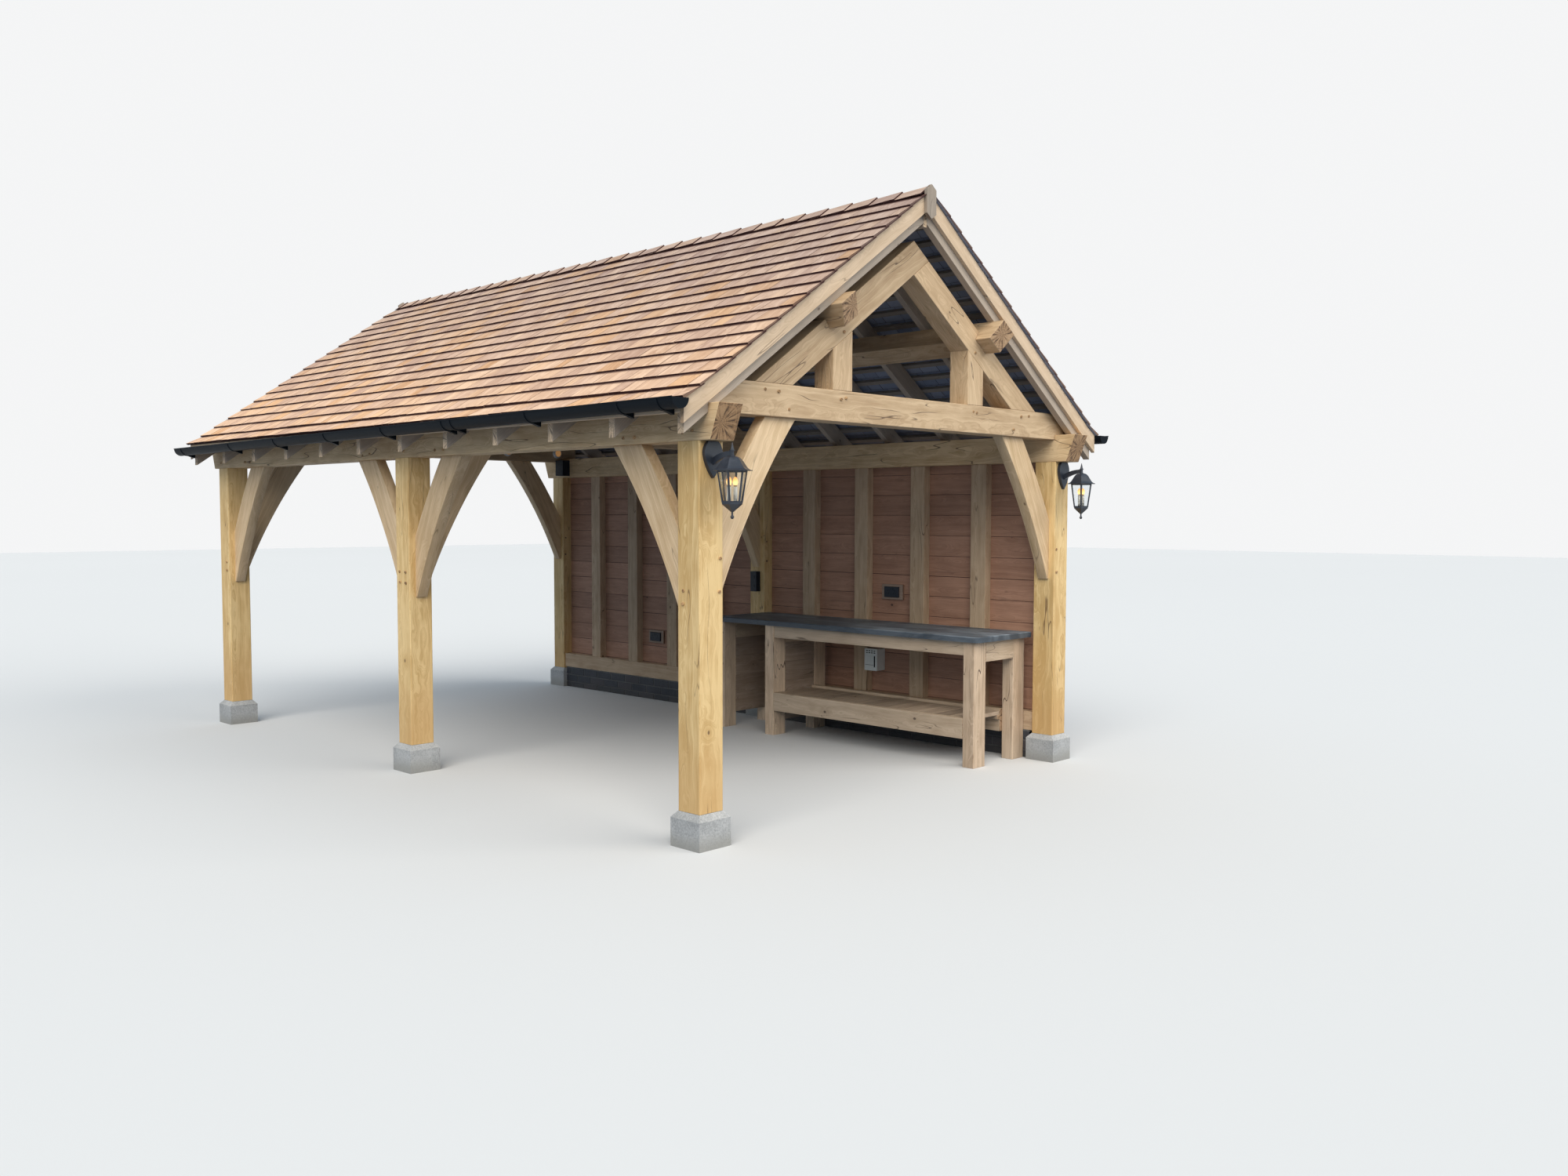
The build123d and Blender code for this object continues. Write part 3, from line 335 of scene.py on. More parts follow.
# end grain: rings and radial splits on faces square to the length
facing = {0: node(sawn, "NewGeometry").outputs["Normal"], 1: marked(sawn, "lengthwise", "Vector")}
facing = node(sawn, "VectorMath", facing, operation="DOT_PRODUCT").outputs["Value"]
end = spread(sawn, sums(sawn, "ABSOLUTE", facing), 0.72, 0.86)
turn = times(sawn, sums(sawn, "ARCTAN2", around[0], around[1]), 5.5)
spoke_place = node(sawn, "CombineXYZ", {0: turn, 1: times(sawn, reach, 12.0)}).outputs[0]
spokes = noise(sawn, 1.0, 3.0, spoke_place)
ring_lines = times(sawn, spread(sawn, rings, 0.40, 0.60), 0.7)
end_tone = blend(sawn, ring_lines, source["Deep"], source["Dark"])
end_tone = blend(sawn, spread(sawn, spokes, 0.40, 0.66, 0.0, 0.8), end_tone, source["Pale"])
end_tone = blend(sawn, 1.0, end_tone, source["End Tint"], "MULTIPLY")
end_tone = blend(sawn, spread(sawn, spokes, 0.36, 0.43, 0.95, 0.0), end_tone, source["Dark"])
tone = blend(sawn, end, tone, end_tone)
tone = blend(sawn, times(sawn, sums(sawn, "MAXIMUM", knot, crack), 0.85), tone, source["Dark"])
lift = times_plus(sawn, sums(sawn, "SUBTRACT", marked(sawn, "tone"), 0.5), source["Variety"], 1.0)
tone = node(sawn, "VectorMath", {0: tone, 3: lift}, operation="SCALE").outputs[0]
rough = sums(sawn, "ADD", times_plus(sawn, fibre, 0.22, source["Gloss"]), -0.08, clamp=True)
relief = times_plus(sawn, fibre, 0.35, times(sawn, rings, 0.25))
relief = times_plus(sawn, sums(sawn, "MAXIMUM", crack, times(sawn, knot, 0.5)), -1.0, relief)
give_out(sawn, target, tone, rough, relief)


def sawn_look(
    pale, deep, dark, figure=1.0, knots=1.0, shakes=0.8, variety=0.2, gloss=0.7, end=(0.86, 0.73, 0.62)
):
    """Values of one sawn timber: its three tones, and how strongly each effect shows."""
    return dict(zip(sawn_inputs, (pale, deep, dark, figure, knots, shakes, variety, gloss, end)))


def mark(mesh, title, values, kind="FLOAT", domain="POINT"):
    """Keep a value for every point or face of a mesh under a name."""
    layer = mesh.attributes.new(title, kind, domain)
    layer.data.foreach_set("value" if kind == "FLOAT" else "vector", np.ravel(values))


def separate(mesh):
    """Corners of a mesh, and for each corner a number that its whole separate length shares."""
    corners = np.empty(len(mesh.vertices) * 3)
    mesh.vertices.foreach_get("co", corners)
    owner = np.arange(len(mesh.vertices))

    def root(number):
        while owner[number] != number:
            owner[number] = owner[owner[number]]
            number = owner[number]
        return number

    for edge in mesh.edges:
        first, second = root(edge.vertices[0]), root(edge.vertices[1])
        if first != second:
            owner[second] = first
    return corners.reshape(-1, 3), np.array([root(number) for number in range(len(owner))])


def mark_lengths(mesh, seed):
    """Give every separate length of timber in a mesh its own grain axes, offset and tone."""
    corners, owner = separate(mesh)
    grain = np.zeros_like(corners)
    lengthwise = np.zeros_like(corners)
    tone = np.zeros(len(corners))
    chance = random.Random(seed)
    for piece in np.unique(owner):
        mine = owner == piece
        place = corners[mine]
        centre = (place.min(0) + place.max(0)) / 2
        axes = np.linalg.eigh(np.cov((place - centre).T))[1]
        for number in range(3):
            biggest = np.argmax(np.abs(axes[:, number]))
            axes[:, number] *= np.sign(axes[biggest, number])
        shift = np.array([chance.uniform(-0.07, 0.07), chance.uniform(-0.07, 0.07), chance.uniform(-50, 50)])
        grain[mine] = (place - centre) @ axes + shift
        lengthwise[mine] = axes[:, 2]
        tone[mine] = chance.random()
    mark(mesh, "grain", grain, "FLOAT_VECTOR")
    mark(mesh, "lengthwise", lengthwise, "FLOAT_VECTOR")
    mark(mesh, "tone", tone)


def welded(node_name, flat=True):
    """Mesh of a solid with its points joined and, if asked, each flat face made one."""
    shape = bmesh.new()
    shape.from_mesh(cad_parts[node_name].data)
    bmesh.ops.remove_doubles(shape, verts=shape.verts, dist=0.00002)
    if flat:
        nearly_flat = math.radians(0.6)
        bmesh.ops.dissolve_limit(shape, angle_limit=nearly_flat, verts=shape.verts, edges=shape.edges)
    mesh = bpy.data.meshes.new("oak_" + node_name)
    shape.to_mesh(mesh)
    shape.free()
    return mesh


def place_piece(name, mesh, material, slot, *replaced, ease=0.0):
    """Put a finished mesh in the scene, with its sharp edges eased, for the solids it stands for."""
    mesh.materials.append(material)
    piece = bpy.data.objects.new(name, mesh)
    bpy.context.collection.objects.link(piece)
    if ease:
        eased = piece.modifiers.new("eased", "BEVEL")
        eased.width = ease
        eased.segments = 2
        eased.limit_method = "ANGLE"
        eased.angle_limit = math.radians(28)
    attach(piece, "root")
    if replaced:
        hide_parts(*replaced)


def timber(node_name, material, slot, ease=0.004):
    """Timbers that stand for a solid of the frame, with eased arrises and their own grain."""
    mesh = welded(node_name)
    mark_lengths(mesh, node_name)
    place_piece("oak_" + node_name, mesh, material, slot, node_name, ease=ease)


post_tones = (0.80, 0.575, 0.275), (0.60, 0.385, 0.15), (0.12, 0.06, 0.025)
post_oak, tree, output = new_material("post_oak")
surface = use_group(tree, sawn, sawn_look(*post_tones, figure=1.8, variety=0.12, gloss=0.60))
where = own_place(tree)
blotch = noise(tree, 3.2, 4.0, where, Roughness=0.6)
level = times_plus(tree, blotch, -0.9, parts(tree, where)[2])
stained = spread(tree, level, -0.25, 0.35, 0.55, 0.0)
foot_tone = blend(tree, stained, surface["Color"], (0.60, 0.355, 0.14))
shade(tree, output, foot_tone, surface["Roughness"], surface["Height"])
timber("posts", post_oak, "green_oak")


# Tie beams, principals, queen struts and purlins: heavy sawn oak, paler and pinker than the posts,
# with open shakes and knots; the beams are jointed and pegged together.
def sawn_finish(name, *tones, **strengths):
    """Finish of one sawn timber."""
    return finish(name, sawn, sawn_look(*tones, **strengths))


beam_oak = sawn_finish(
    "beam_oak", (0.65, 0.475, 0.29), (0.43, 0.285, 0.155), (0.075, 0.042, 0.025),
    figure=1.15, shakes=0.9, variety=0.22, gloss=0.66, end=(0.93, 0.84, 0.79),
)
for name in ("tie_beams", "principals_left", "principals_right", "queen_struts", "purlins"):
    timber(name, beam_oak, "green_oak")

# Wall plates: two long oak beams with stepped and moulded ends that carry the rafters, yellower than
# the ties, darker in their end grain. They lie on the post heads and are pegged to them.
plate_oak = sawn_finish(
    "plate_oak", (0.74, 0.545, 0.315), (0.49, 0.325, 0.165), (0.075, 0.042, 0.025),
    figure=1.3, shakes=0.9, variety=0.1, gloss=0.66, end=(0.66, 0.56, 0.50),
)
timber("wall_plates", plate_oak, "green_oak")

# Sole plates and studs: the oak framing of the boarded side, painted duller for the shade it stands in,
# tenoned between the plinth and the wall plate.
stud_oak = sawn_finish(
    "stud_oak", (0.57, 0.42, 0.275), (0.38, 0.255, 0.155), (0.07, 0.04, 0.025),
    figure=1.1, variety=0.22, gloss=0.68,
)
for name in ("sole_plates", "studs"):
    timber(name, stud_oak, "green_oak", ease=0.003)

# Braces: curved oak braces, cleaner and lighter than the beams, tenoned and pegged at both ends to
# hold the posts square with the ties and the open side's plate.
brace_oak = sawn_finish(
    "brace_oak", (0.76, 0.565, 0.35), (0.55, 0.375, 0.20), (0.10, 0.055, 0.03),
    figure=1.2, knots=0.8, shakes=0.5, variety=0.16, gloss=0.64,
)
for name in ("tie_braces", "plate_braces"):
    timber(name, brace_oak, "green_oak", ease=0.003)

# Pegs: cleft oak pegs about 20 mm thick, driven through every joint of posts, beams and braces from
# both faces and left standing a little proud.
peg_oak = sawn_finish(
    "peg_oak", (0.56, 0.385, 0.21), (0.36, 0.225, 0.11), (0.06, 0.035, 0.02),
    knots=0.0, shakes=0.0, variety=0.5,
)
frame_places = (-3.0285, -0.0285, 2.9715)
post_width, post_middle = 0.175, 1.76
tie_faces = ((0.0125, -1), (0.1625, 1))
strut_foot_pegs = ((0.655, 2.520), (0.692, 2.514))
principal_foot_pegs = ((1.230, 2.520), (1.332, 2.520))
brace_head_peg, strut_head_peg = (1.140, 2.418), (0.670, 2.912)
tie_brace_foot_pegs = ((1.696, 1.577), (1.700, 1.408))
plate_brace_foot_levels = (1.413, 1.340)
post_head_level, plate_brace_head_level = 2.262, 2.250
peg_places = []
for place in frame_places:
    for across, way in tie_faces:
        for side in (-1, 1):
            for x, z in (*strut_foot_pegs, *principal_foot_pegs, brace_head_peg, strut_head_peg):
                peg_places.append(((side * x, place + across, z), (0, way, 0)))
    for face, way in ((place, -1), (place + post_width, 1)):
        for side in (-1, 1):
            for x, z in tie_brace_foot_pegs:
                peg_places.append(((side * x, face, z), (0, way, 0)))
    for face, way in ((-post_middle - post_width / 2, -1), (-post_middle + post_width / 2, 1)):
        for shift in (0.050, 0.128):
            if (shift < 0.1 and place > -3.0) or (shift > 0.1 and place < 2.9):
                for level in plate_brace_foot_levels:
                    peg_places.append(((face, place + shift, level), (way, 0, 0)))
for place in frame_places:
    outer = post_middle + post_width / 2
    for shift in (0.048, 0.127):
        peg_places.append(((-outer, place + shift, post_head_level), (-1, 0, 0)))
        peg_places.append(((outer, place + shift, post_head_level), (1, 0, 0)))
    for shift in (-0.46, -0.36, 0.535, 0.635):
        if -3.1 < place + shift < 3.1:
            peg_places.append(((-outer, place + shift, plate_brace_head_level), (-1, 0, 0)))


def tube_mesh(name, tubes):
    """Mesh of closed tubes, each given by its rings of points from one end to the other."""
    points, faces = [], []
    for rings in tubes:
        first, sides = len(points), len(rings[0])
        points.extend(tuple(spot) for ring in rings for spot in ring)
        last = len(points) - sides
        for low in range(first, last, sides):
            for step in range(sides):
                after = (step + 1) % sides
                faces.append((low + step, low + after, low + sides + after, low + sides + step))
        faces.append([first + step for step in range(sides)][::-1])
        faces.append([last + step for step in range(sides)])
    mesh = bpy.data.meshes.new(name)
    mesh.from_pydata(points, [], faces)
    return mesh


def drive_pegs(places, seed):
    """Nine-sided pegs, each standing out of a face along its own direction."""
    sides, sunk, astray = 9, 0.012, 0.006
    chance = random.Random(seed)
    pegs = []
    for place, towards in places:
        out = Vector(towards)
        aside = Vector((0, 0, 1)).cross(out)
        proud = chance.uniform(0.004, 0.011)
        turn = chance.uniform(0.0, 1.0)
        radius = chance.uniform(0.0085, 0.0105)
        centre = Vector(place) + aside * chance.uniform(-astray, astray)
        centre += Vector((0, 0, chance.uniform(-astray, astray)))
        rings = []
        for depth, share in ((-sunk, 1.0), (proud - 0.0015, 1.0), (proud, 0.78)):
            ring = []
            for step in range(sides):
                angle = math.tau * (step + turn) / sides
                across = (aside * math.cos(angle) + Vector((0, 0, math.sin(angle)))) * radius * share
                ring.append(centre + out * depth + across)
            rings.append(ring)
        pegs.append(rings)
    return tube_mesh("pegs", pegs)


mesh = drive_pegs(peg_places, "pegs")
mark_lengths(mesh, "pegs")
place_piece("frame_pegs", mesh, peg_oak, "green_oak")

# Rafters, battens and ridge board: sawn softwood, nailed up under the covering; the battens painted dark
# for the shade of the roof, the end grain painted pale for the light on the rafter feet.
# The end tint above one paints the end grain much paler than the sides: painted light on the rafter feet
# under the eave.
roof_wood = sawn_finish(
    "roof_wood", (0.52, 0.43, 0.34), (0.36, 0.295, 0.23), (0.10, 0.07, 0.05),
    figure=0.9, knots=0.8, shakes=0.3, end=(1.75, 1.55, 1.25),
)
for name in ("ridge_board", "rafters"):
    timber(name, roof_wood, "roof_timber", ease=0.002)
# Battens painted darker than the rafters: painted shade under the roof.
shaded_batten_wood = sawn_finish(
    "shaded_batten_wood", (0.30, 0.26, 0.22), (0.19, 0.165, 0.14), (0.06, 0.045, 0.035),
    figure=0.9, knots=0.6, shakes=0.2, variety=0.3, gloss=0.75,
)
timber("battens", shaded_batten_wood, "roof_timber", ease=0.002)

# Roof covering: cedar shingles of mixed widths, nailed to the battens in seventeen lapped courses a
# side, salmon and tan on the face, with a painted sky reflection greying them towards the ridge, and
# near-black butt ends: dark end grain with painted shade.
pitch = math.radians(35)
roof_foot_half, roof_foot_level = 2.0615, 2.3933
slope_length = 2.505
course_gauge, course_count, course_foot = 0.1415, 17, 0.010
shingle_length, shingle_butt, shingle_head = 0.31, 0.0128, 0.0015
eave_length, eave_butt = 0.172, 0.010
narrowest, widest, least_left = 0.075, 0.205, 0.06
# heights of the underside at foot and head: doubled eave course, first course and all others
double_seat, eave_seat, course_seat = (0.014, 0.001), (0.0245, 0.002), (0.0105, 0.0002)
covering_low, covering_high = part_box("roof_left")
# faces of a wedge: foot, top, head, underside and both sides
wedge_faces = ((0, 1, 5, 4), (1, 3, 7, 5), (3, 2, 6, 7), (2, 0, 4, 6), (0, 2, 3, 1), (4, 5, 7, 6))
shingle_butts, shingle_unders = (1.0, 0.0, 0.0, 0.0, 0.75, 0.75), (0.0, 0.0, 0.0, 1.0, 0.0, 0.0)


def on_roof(side, y, up, out):
    """Point on a roof slope: along the ridge, up the slope from the eave, and square out of the battens."""
    half = roof_foot_half - up * math.cos(pitch) + out * math.sin(pitch)
    return (side * half, y, roof_foot_level + up * math.sin(pitch) + out * math.cos(pitch))


def covering_mesh(name, wedges, butts, unders):
    """Mesh of thin wedges, all with the same faces marked as butts and undersides."""
    slopes, shapes, tones, grains, laps = zip(*wedges)
    points, faces = [], []
    for side, corners in zip(slopes, shapes):
        first = len(points)
        points.extend(on_roof(side, *corner) for corner in corners)
        for quad in wedge_faces:
            faces.append([first + corner for corner in (quad if side < 0 else quad[::-1])])
    mesh = bpy.data.meshes.new(name)
    mesh.from_pydata(points, [], faces)
    mark(mesh, "tone", np.repeat(tones, 8))
    mark(mesh, "lap", laps)
    mark(mesh, "grain", grains, "FLOAT_VECTOR")
    mark(mesh, "butt", [butts] * len(wedges), domain="FACE")
    mark(mesh, "under", [unders] * len(wedges), domain="FACE")
    mesh.attributes.new("lengthwise", "FLOAT_VECTOR", "POINT")
    return mesh


def grain_shift(chance):
    """Place of one shingle in the log it was cleft from."""
    return chance.uniform(-0.05, 0.05), chance.uniform(0.05, 0.5), chance.uniform(-50, 50)


def lay_courses(side, seed):
    """Every shingle of one slope, with open joints and butts a little out of line."""
    chance = random.Random(seed)
    wedges = []

    def shingle(start, end, up, length, foot, head, butt):
        """One shingle: foot and head are the heights of its underside, butt its thick end."""
        skew = chance.uniform(-0.0015, 0.0015)
        rise = chance.uniform(-0.0008, 0.0012)
        thin = butt * shingle_head / shingle_butt
        corners = []
        for y, lean in ((start, skew), (end, -skew)):
            for where, under, over in ((up + lean, foot + rise, butt), (up + length, head, thin)):
                corners.append((y, where, under))
                corners.append((y, where, under + over))
        tone = chance.random()
        aside, deep, along = grain_shift(chance)
        grains = [(y - start + aside, out + deep, where - up + along) for y, where, out in corners]
        wedges.append((side, corners, tone, grains, [where - up for _, where, _ in corners]))

    for course in range(-1, course_count):
        up = max(course, 0) * course_gauge + course_foot
        length = eave_length if course < 1 else min(shingle_length, slope_length - up)
        y = covering_low.y + chance.uniform(0.0, 0.002)
        drift = 0.0
        while y < covering_high.y - 0.001:
            end = y + chance.uniform(narrowest, widest)
            if covering_high.y - end < least_left:
                end = covering_high.y
            drift = 0.7 * drift + chance.uniform(-0.0034, 0.0034)
            joint = chance.uniform(0.0018, 0.0050)
            if course == -1:
                shingle(y, end, up + 0.004, length, *double_seat, eave_butt)
            elif course == 0:
                shingle(y, end - joint, up + drift, length, *eave_seat, eave_butt)
            else:
                shingle(y, end - joint, up + drift, length, *course_seat, shingle_butt)
            y = end
    return covering_mesh("shingles", wedges, shingle_butts, shingle_unders)


cedar_tones = (0.73, 0.53, 0.38), (0.48, 0.305, 0.20), (0.22, 0.11, 0.08)
cedar, tree, output = new_material("cedar_shingle")
cedar_look = sawn_look(*cedar_tones, figure=1.1, knots=0.0, shakes=0.25, variety=0.0, gloss=0.72)
surface = use_group(tree, sawn, cedar_look)
tone_of_shingle = marked(tree, "tone")
tints = node(tree, "ValToRGB", {0: tone_of_shingle})
tints.color_ramp.interpolation = "LINEAR"
for place, colour in (
    (0.0, (0.80, 0.76, 0.79)),
    (0.12, (0.90, 0.88, 0.92)),
    (0.35, (0.99, 0.98, 1.0)),
    (0.62, (1.09, 1.08, 1.06)),
    (0.84, (1.02, 0.98, 0.92)),
    (0.97, (1.02, 0.90, 0.72)),
):
    stop = tints.color_ramp.elements.new(place)
    stop.color = (*colour, 1.0)
tints.color_ramp.elements.remove(tints.color_ramp.elements[-1])
tints.color_ramp.elements.remove(tints.color_ramp.elements[0])
face_tone = blend(tree, 1.0, surface["Color"], tints.outputs[0], "MULTIPLY")
# Painted sky reflection: lighter and warmer at the eave, greyer and bluer towards the ridge and a little
# towards the front gable.
where = parts(tree, own_place(tree))
ridge_sky_sheen = spread(tree, where[2], 2.35, 3.95)
ridge_sky_sheen = sums(tree, "MULTIPLY_ADD", where[1], -0.05, ridge_sky_sheen, clamp=True)
ridge_sky_sheen_tint = blend(tree, ridge_sky_sheen, (1.17, 1.10, 1.03), (0.75, 0.765, 0.84))
face_tone = blend(tree, 1.0, face_tone, ridge_sky_sheen_tint, "MULTIPLY")
lap_shade = spread(tree, marked(tree, "lap"), 0.112, 0.142, 0.0, 0.92)
face_tone = blend(tree, lap_shade, face_tone, (0.065, 0.020, 0.017))
# Butt faces near-black, the shingle sides a little less: dark end grain with painted shade.
face_tone = blend(tree, marked(tree, "butt"), face_tone, (0.040, 0.010, 0.010))
# Undersides painted dark blue-grey for the cool shade under the roof.
underside_painted_shade = blend(tree, tone_of_shingle, (0.20, 0.235, 0.32), (0.31, 0.335, 0.41))
face_tone = blend(tree, marked(tree, "under"), face_tone, underside_painted_shade)
shade(tree, output, face_tone, surface["Roughness"], surface["Height"], 0.0015, Specular_IOR_Level=0.35)

for name, side in (("left", -1), ("right", 1)):
    mesh = lay_courses(side, "courses " + name)
    place_piece("shingles_" + name, mesh, cedar, "shingles", "roof_" + name)

# Ridge capping: pairs of short cedar boards nailed along the ridge, each lapping the one behind it,
# butts towards the front gable.
cap_gauge, cap_width, cap_lap = 0.210, 0.088, 1.45
cap_start = -3.1285
cap_foot_rise, cap_head_rise, cap_thin = 0.0188, 0.0123, 0.004
cap_butts, cap_unders = (1.0, 0.0, 0.0, 0.0, 1.0, 0.0), (0.0,) * 6
cap_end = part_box("ridge_capping")[1].y


def lay_capping():
    """Cap boards of both slopes, each tipped up on the one behind it."""
    chance = random.Random("capping")
    wedges = []
    ridge_up = roof_foot_half / math.cos(pitch)
    for side in (-1, 1):
        start = cap_start
        while start < cap_end - 0.02:
            end = min(start + cap_gauge * cap_lap, cap_end)
            butt = chance.uniform(0.0085, 0.0105)
            low_edge = ridge_up - cap_width + chance.uniform(-0.002, 0.002)
            corners = []
            for y, under, over in ((start, cap_foot_rise, butt), (end, cap_head_rise, cap_thin)):
                for at_ridge in (False, True):
                    for out in (under, under + over):
                        up = ridge_up + out * math.tan(pitch) if at_ridge else low_edge
                        corners.append((y, up, out))
            tone = chance.uniform(0.1, 0.9)
            aside, deep, along = grain_shift(chance)
            grains = [(up - ridge_up + aside, out + deep, y - start + along) for y, up, out in corners]
            wedges.append((side, corners, tone, grains, [0.0] * 8))
            start += cap_gauge
    return covering_mesh("capping", wedges, cap_butts, cap_unders)


place_piece("cap_boards", lay_capping(), cedar, "shingles", "ridge_capping")

# Bargeboards, apex blocks and fascias: planed oak boards nailed to the outer rafters and the rafter
# feet, the apex blocks greyed by weather and painted darker for the shade they stand in.
trim_oak = sawn_finish(
    "trim_oak", (0.76, 0.58, 0.40), (0.55, 0.40, 0.255), (0.12, 0.085, 0.06),
    figure=1.1, shakes=0.7, variety=0.14, gloss=0.68,
)
for name in ("bargeboards_left", "bargeboards_right", "fascias"):
    timber(name, trim_oak, "oak_trim", ease=0.0025)
apex_oak = sawn_finish(
    "apex_oak", (0.39, 0.325, 0.26), (0.26, 0.21, 0.165), (0.08, 0.06, 0.05),
    figure=0.9, knots=0.5, variety=0.1,
)
timber("apex_blocks", apex_oak, "oak_trim", ease=0.0025)

# Gutters and their brackets: half-round black troughs with a rolled rim, clipped into brackets on the
# fascias, satin with a little dust on top.
coated_inputs = {
    "Coat": (0.1, 0.1, 0.1), "Dust And Sheen": (0.3, 0.3, 0.3),
    "Dust And Sheen Amount": 0.5, "Gloss": 0.4, "Grain Scale": 400.0,
}
coated, source, target = add_group("coated_surface", coated_inputs)
where = own_place(coated)
peel = noise(coated, source["Grain Scale"], 2.0, where)
cloud = noise(coated, 9.0, 6.0, where, Roughness=0.65)
upward = parts(coated, node(coated, "NewGeometry").outputs["Normal"])[2]
# Dust on upward faces; on the lantern this pale tone is a painted sky sheen on the cap.
dust_and_sheen = times(coated, spread(coated, cloud, 0.42, 0.72), source["Dust And Sheen Amount"])
dust_and_sheen = times(coated, dust_and_sheen, spread(coated, upward, -0.4, 0.9, 0.25, 1.0))
tone = blend(coated, dust_and_sheen, source["Coat"], source["Dust And Sheen"])
rough = times_plus(coated, dust_and_sheen, 0.35, source["Gloss"])
rough = sums(coated, "MULTIPLY_ADD", peel, 0.08, rough, clamp=True)
give_out(coated, target, tone, rough, peel)
gutter_finish = finish(
    "gutter_finish",
    coated,
    {"Coat": (0.004, 0.007, 0.011), "Dust And Sheen": (0.014, 0.017, 0.021), "Dust And Sheen Amount": 0.3, "Gloss": 0.46},
    depth=0.0003,
    Specular_IOR_Level=0.08,
)
dress("gutters", gutter_finish)
dress("gutter_brackets", gutter_finish)

# Brick plinth: three courses of blue engineering bricks in dark mortar under each bay of the boards.
plinth_low, plinth_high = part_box("brick_plinth")
bay_length, bay_width, plinth_gap = 3.0, 2.825, 0.030
brick_length, brick_joint, mortar_back = 0.215, 0.010, 0.004
brick_rows = ((0.0, 0.050), (0.060, 0.125), (0.135, 0.200))
bed_top = 0.2098


def block_mesh(name, blocks):
    """Mesh of many upright blocks, each given by its lowest and highest corner."""
    tubes = []
    for low, high in blocks:
        outline = ((low[0], low[1]), (high[0], low[1]), (high[0], high[1]), (low[0], high[1]))
        tubes.append([[(x, y, z) for x, y in outline] for z in (low[2], high[2])])
    return tube_mesh(name, tubes)


def build_blocks(name, blocks, seed, material, slot, ease, *replaced):
    """Many upright blocks as one piece, each with its own tone and eased edges."""
    chance = random.Random(seed)
    mesh = block_mesh(name, blocks)
    mark(mesh, "tone", [[chance.random()] * 8 for _ in blocks])
    place_piece(name, mesh, material, slot, *replaced, ease=ease)


blue_brick, tree, output = new_material("blue_brick")
fired = {
    "Pale": (0.046, 0.049, 0.059), "Deep": (0.018, 0.020, 0.027), "Stain": (0.05, 0.047, 0.043),
    "Grain Scale": 160.0, "Stain Height": 0.03, "Pits": 0.5, "Gloss": 0.6,
}
surface = use_group(tree, mineral, fired)
warmer = times(tree, spread(tree, marked(tree, "tone"), 0.55, 1.0), 0.5)
fired_tone = blend(tree, warmer, surface["Color"], (0.075, 0.060, 0.060))
shade(tree, output, fired_tone, surface["Roughness"], surface["Height"], 0.001)
mortar = finish(
    "dark_mortar",
    mineral,
    {
        "Pale": (0.15, 0.15, 0.145), "Deep": (0.08, 0.08, 0.08), "Stain": (0.06, 0.055, 0.05),
        "Grain Scale": 220.0, "Stain Height": 0.04, "Pits": 0.2, "Gloss": 0.9,
    },
    depth=0.001,
)
bricks, beds = [], []
for bay in range(2):
    bay_low = frame_places[0] + bay_length * bay + post_width + plinth_gap
    bay_high = bay_low + bay_width - 2 * plinth_gap
    bed_low = (plinth_low.x + mortar_back, bay_low, 0.0)
    beds.append((bed_low, (plinth_high.x - mortar_back, bay_high, bed_top)))
    for row, (low, high) in enumerate(brick_rows):
        y = bay_low - (brick_length + brick_joint) / 2 * (row % 2)
        while y < bay_high - 0.02:
            start = max(y, bay_low)
            end = min(y + brick_length, bay_high)
            if end - start > 0.03:
                bricks.append(((plinth_low.x, start, low), (plinth_high.x, end, high)))
            y += brick_length + brick_joint
build_blocks("plinth_mortar", beds, "beds", mortar, "blue_brick", 0.0, "brick_plinth")
build_blocks("plinth_bricks", bricks, "bricks", blue_brick, "blue_brick", 0.003)

# Wall boards: horizontal feather-edged boards, reddish brown, nailed to the outer faces of the studs,
# with a narrow open joint between each board and the next.
board_face, board_thickness, board_step, board_back = 1.7725, 0.022, 0.007, 0.005
board_gauge, first_board = 0.163, 0.145
boards_foot, boards_head = 0.210, 2.214


def lay_boards():
    """Every board of both bays, thicker at its lower edge, with an open groove along each joint inside."""
    chance = random.Random("boards")
    boards, grooves = [], []
    for bay in range(2):
        low_y = frame_places[0] + bay_length * bay + post_width
        low = boards_foot
        while low < boards_head - 0.0001:
            high = low + (first_board if low == boards_foot else board_gauge)
            if high > boards_head - 0.05:
                high = boards_head
            groove = chance.uniform(0.0012, 0.0030)
            profile = [
                (board_face, low + groove),
                (board_face + board_back, low),
                (board_face + board_thickness - 0.002, low),
                (board_face + board_thickness, low + 0.003),
                (board_face + board_thickness - board_step, high),
                (board_face + board_back, high),
                (board_face, high - 0.0015),
            ]
            ends = (low_y + bay_width - 0.0005, low_y + 0.0005)
            boards.append([[(x, y, z) for x, z in profile] for y in ends])
            grooves += [1.0 if step in (0, 5) else 0.0 for step in range(len(profile))] + [0.0, 0.0]
            low = high
    mesh = tube_mesh("boards", boards)
    mark(mesh, "groove", grooves, domain="FACE")
    return mesh


board_tones = (0.425, 0.235, 0.155), (0.27, 0.137, 0.086), (0.05, 0.025, 0.02)
board_wood, tree, output = new_material("board_wood")
surface = use_group(tree, sawn, sawn_look(*board_tones, shakes=0.3, variety=0.24, gloss=0.62))
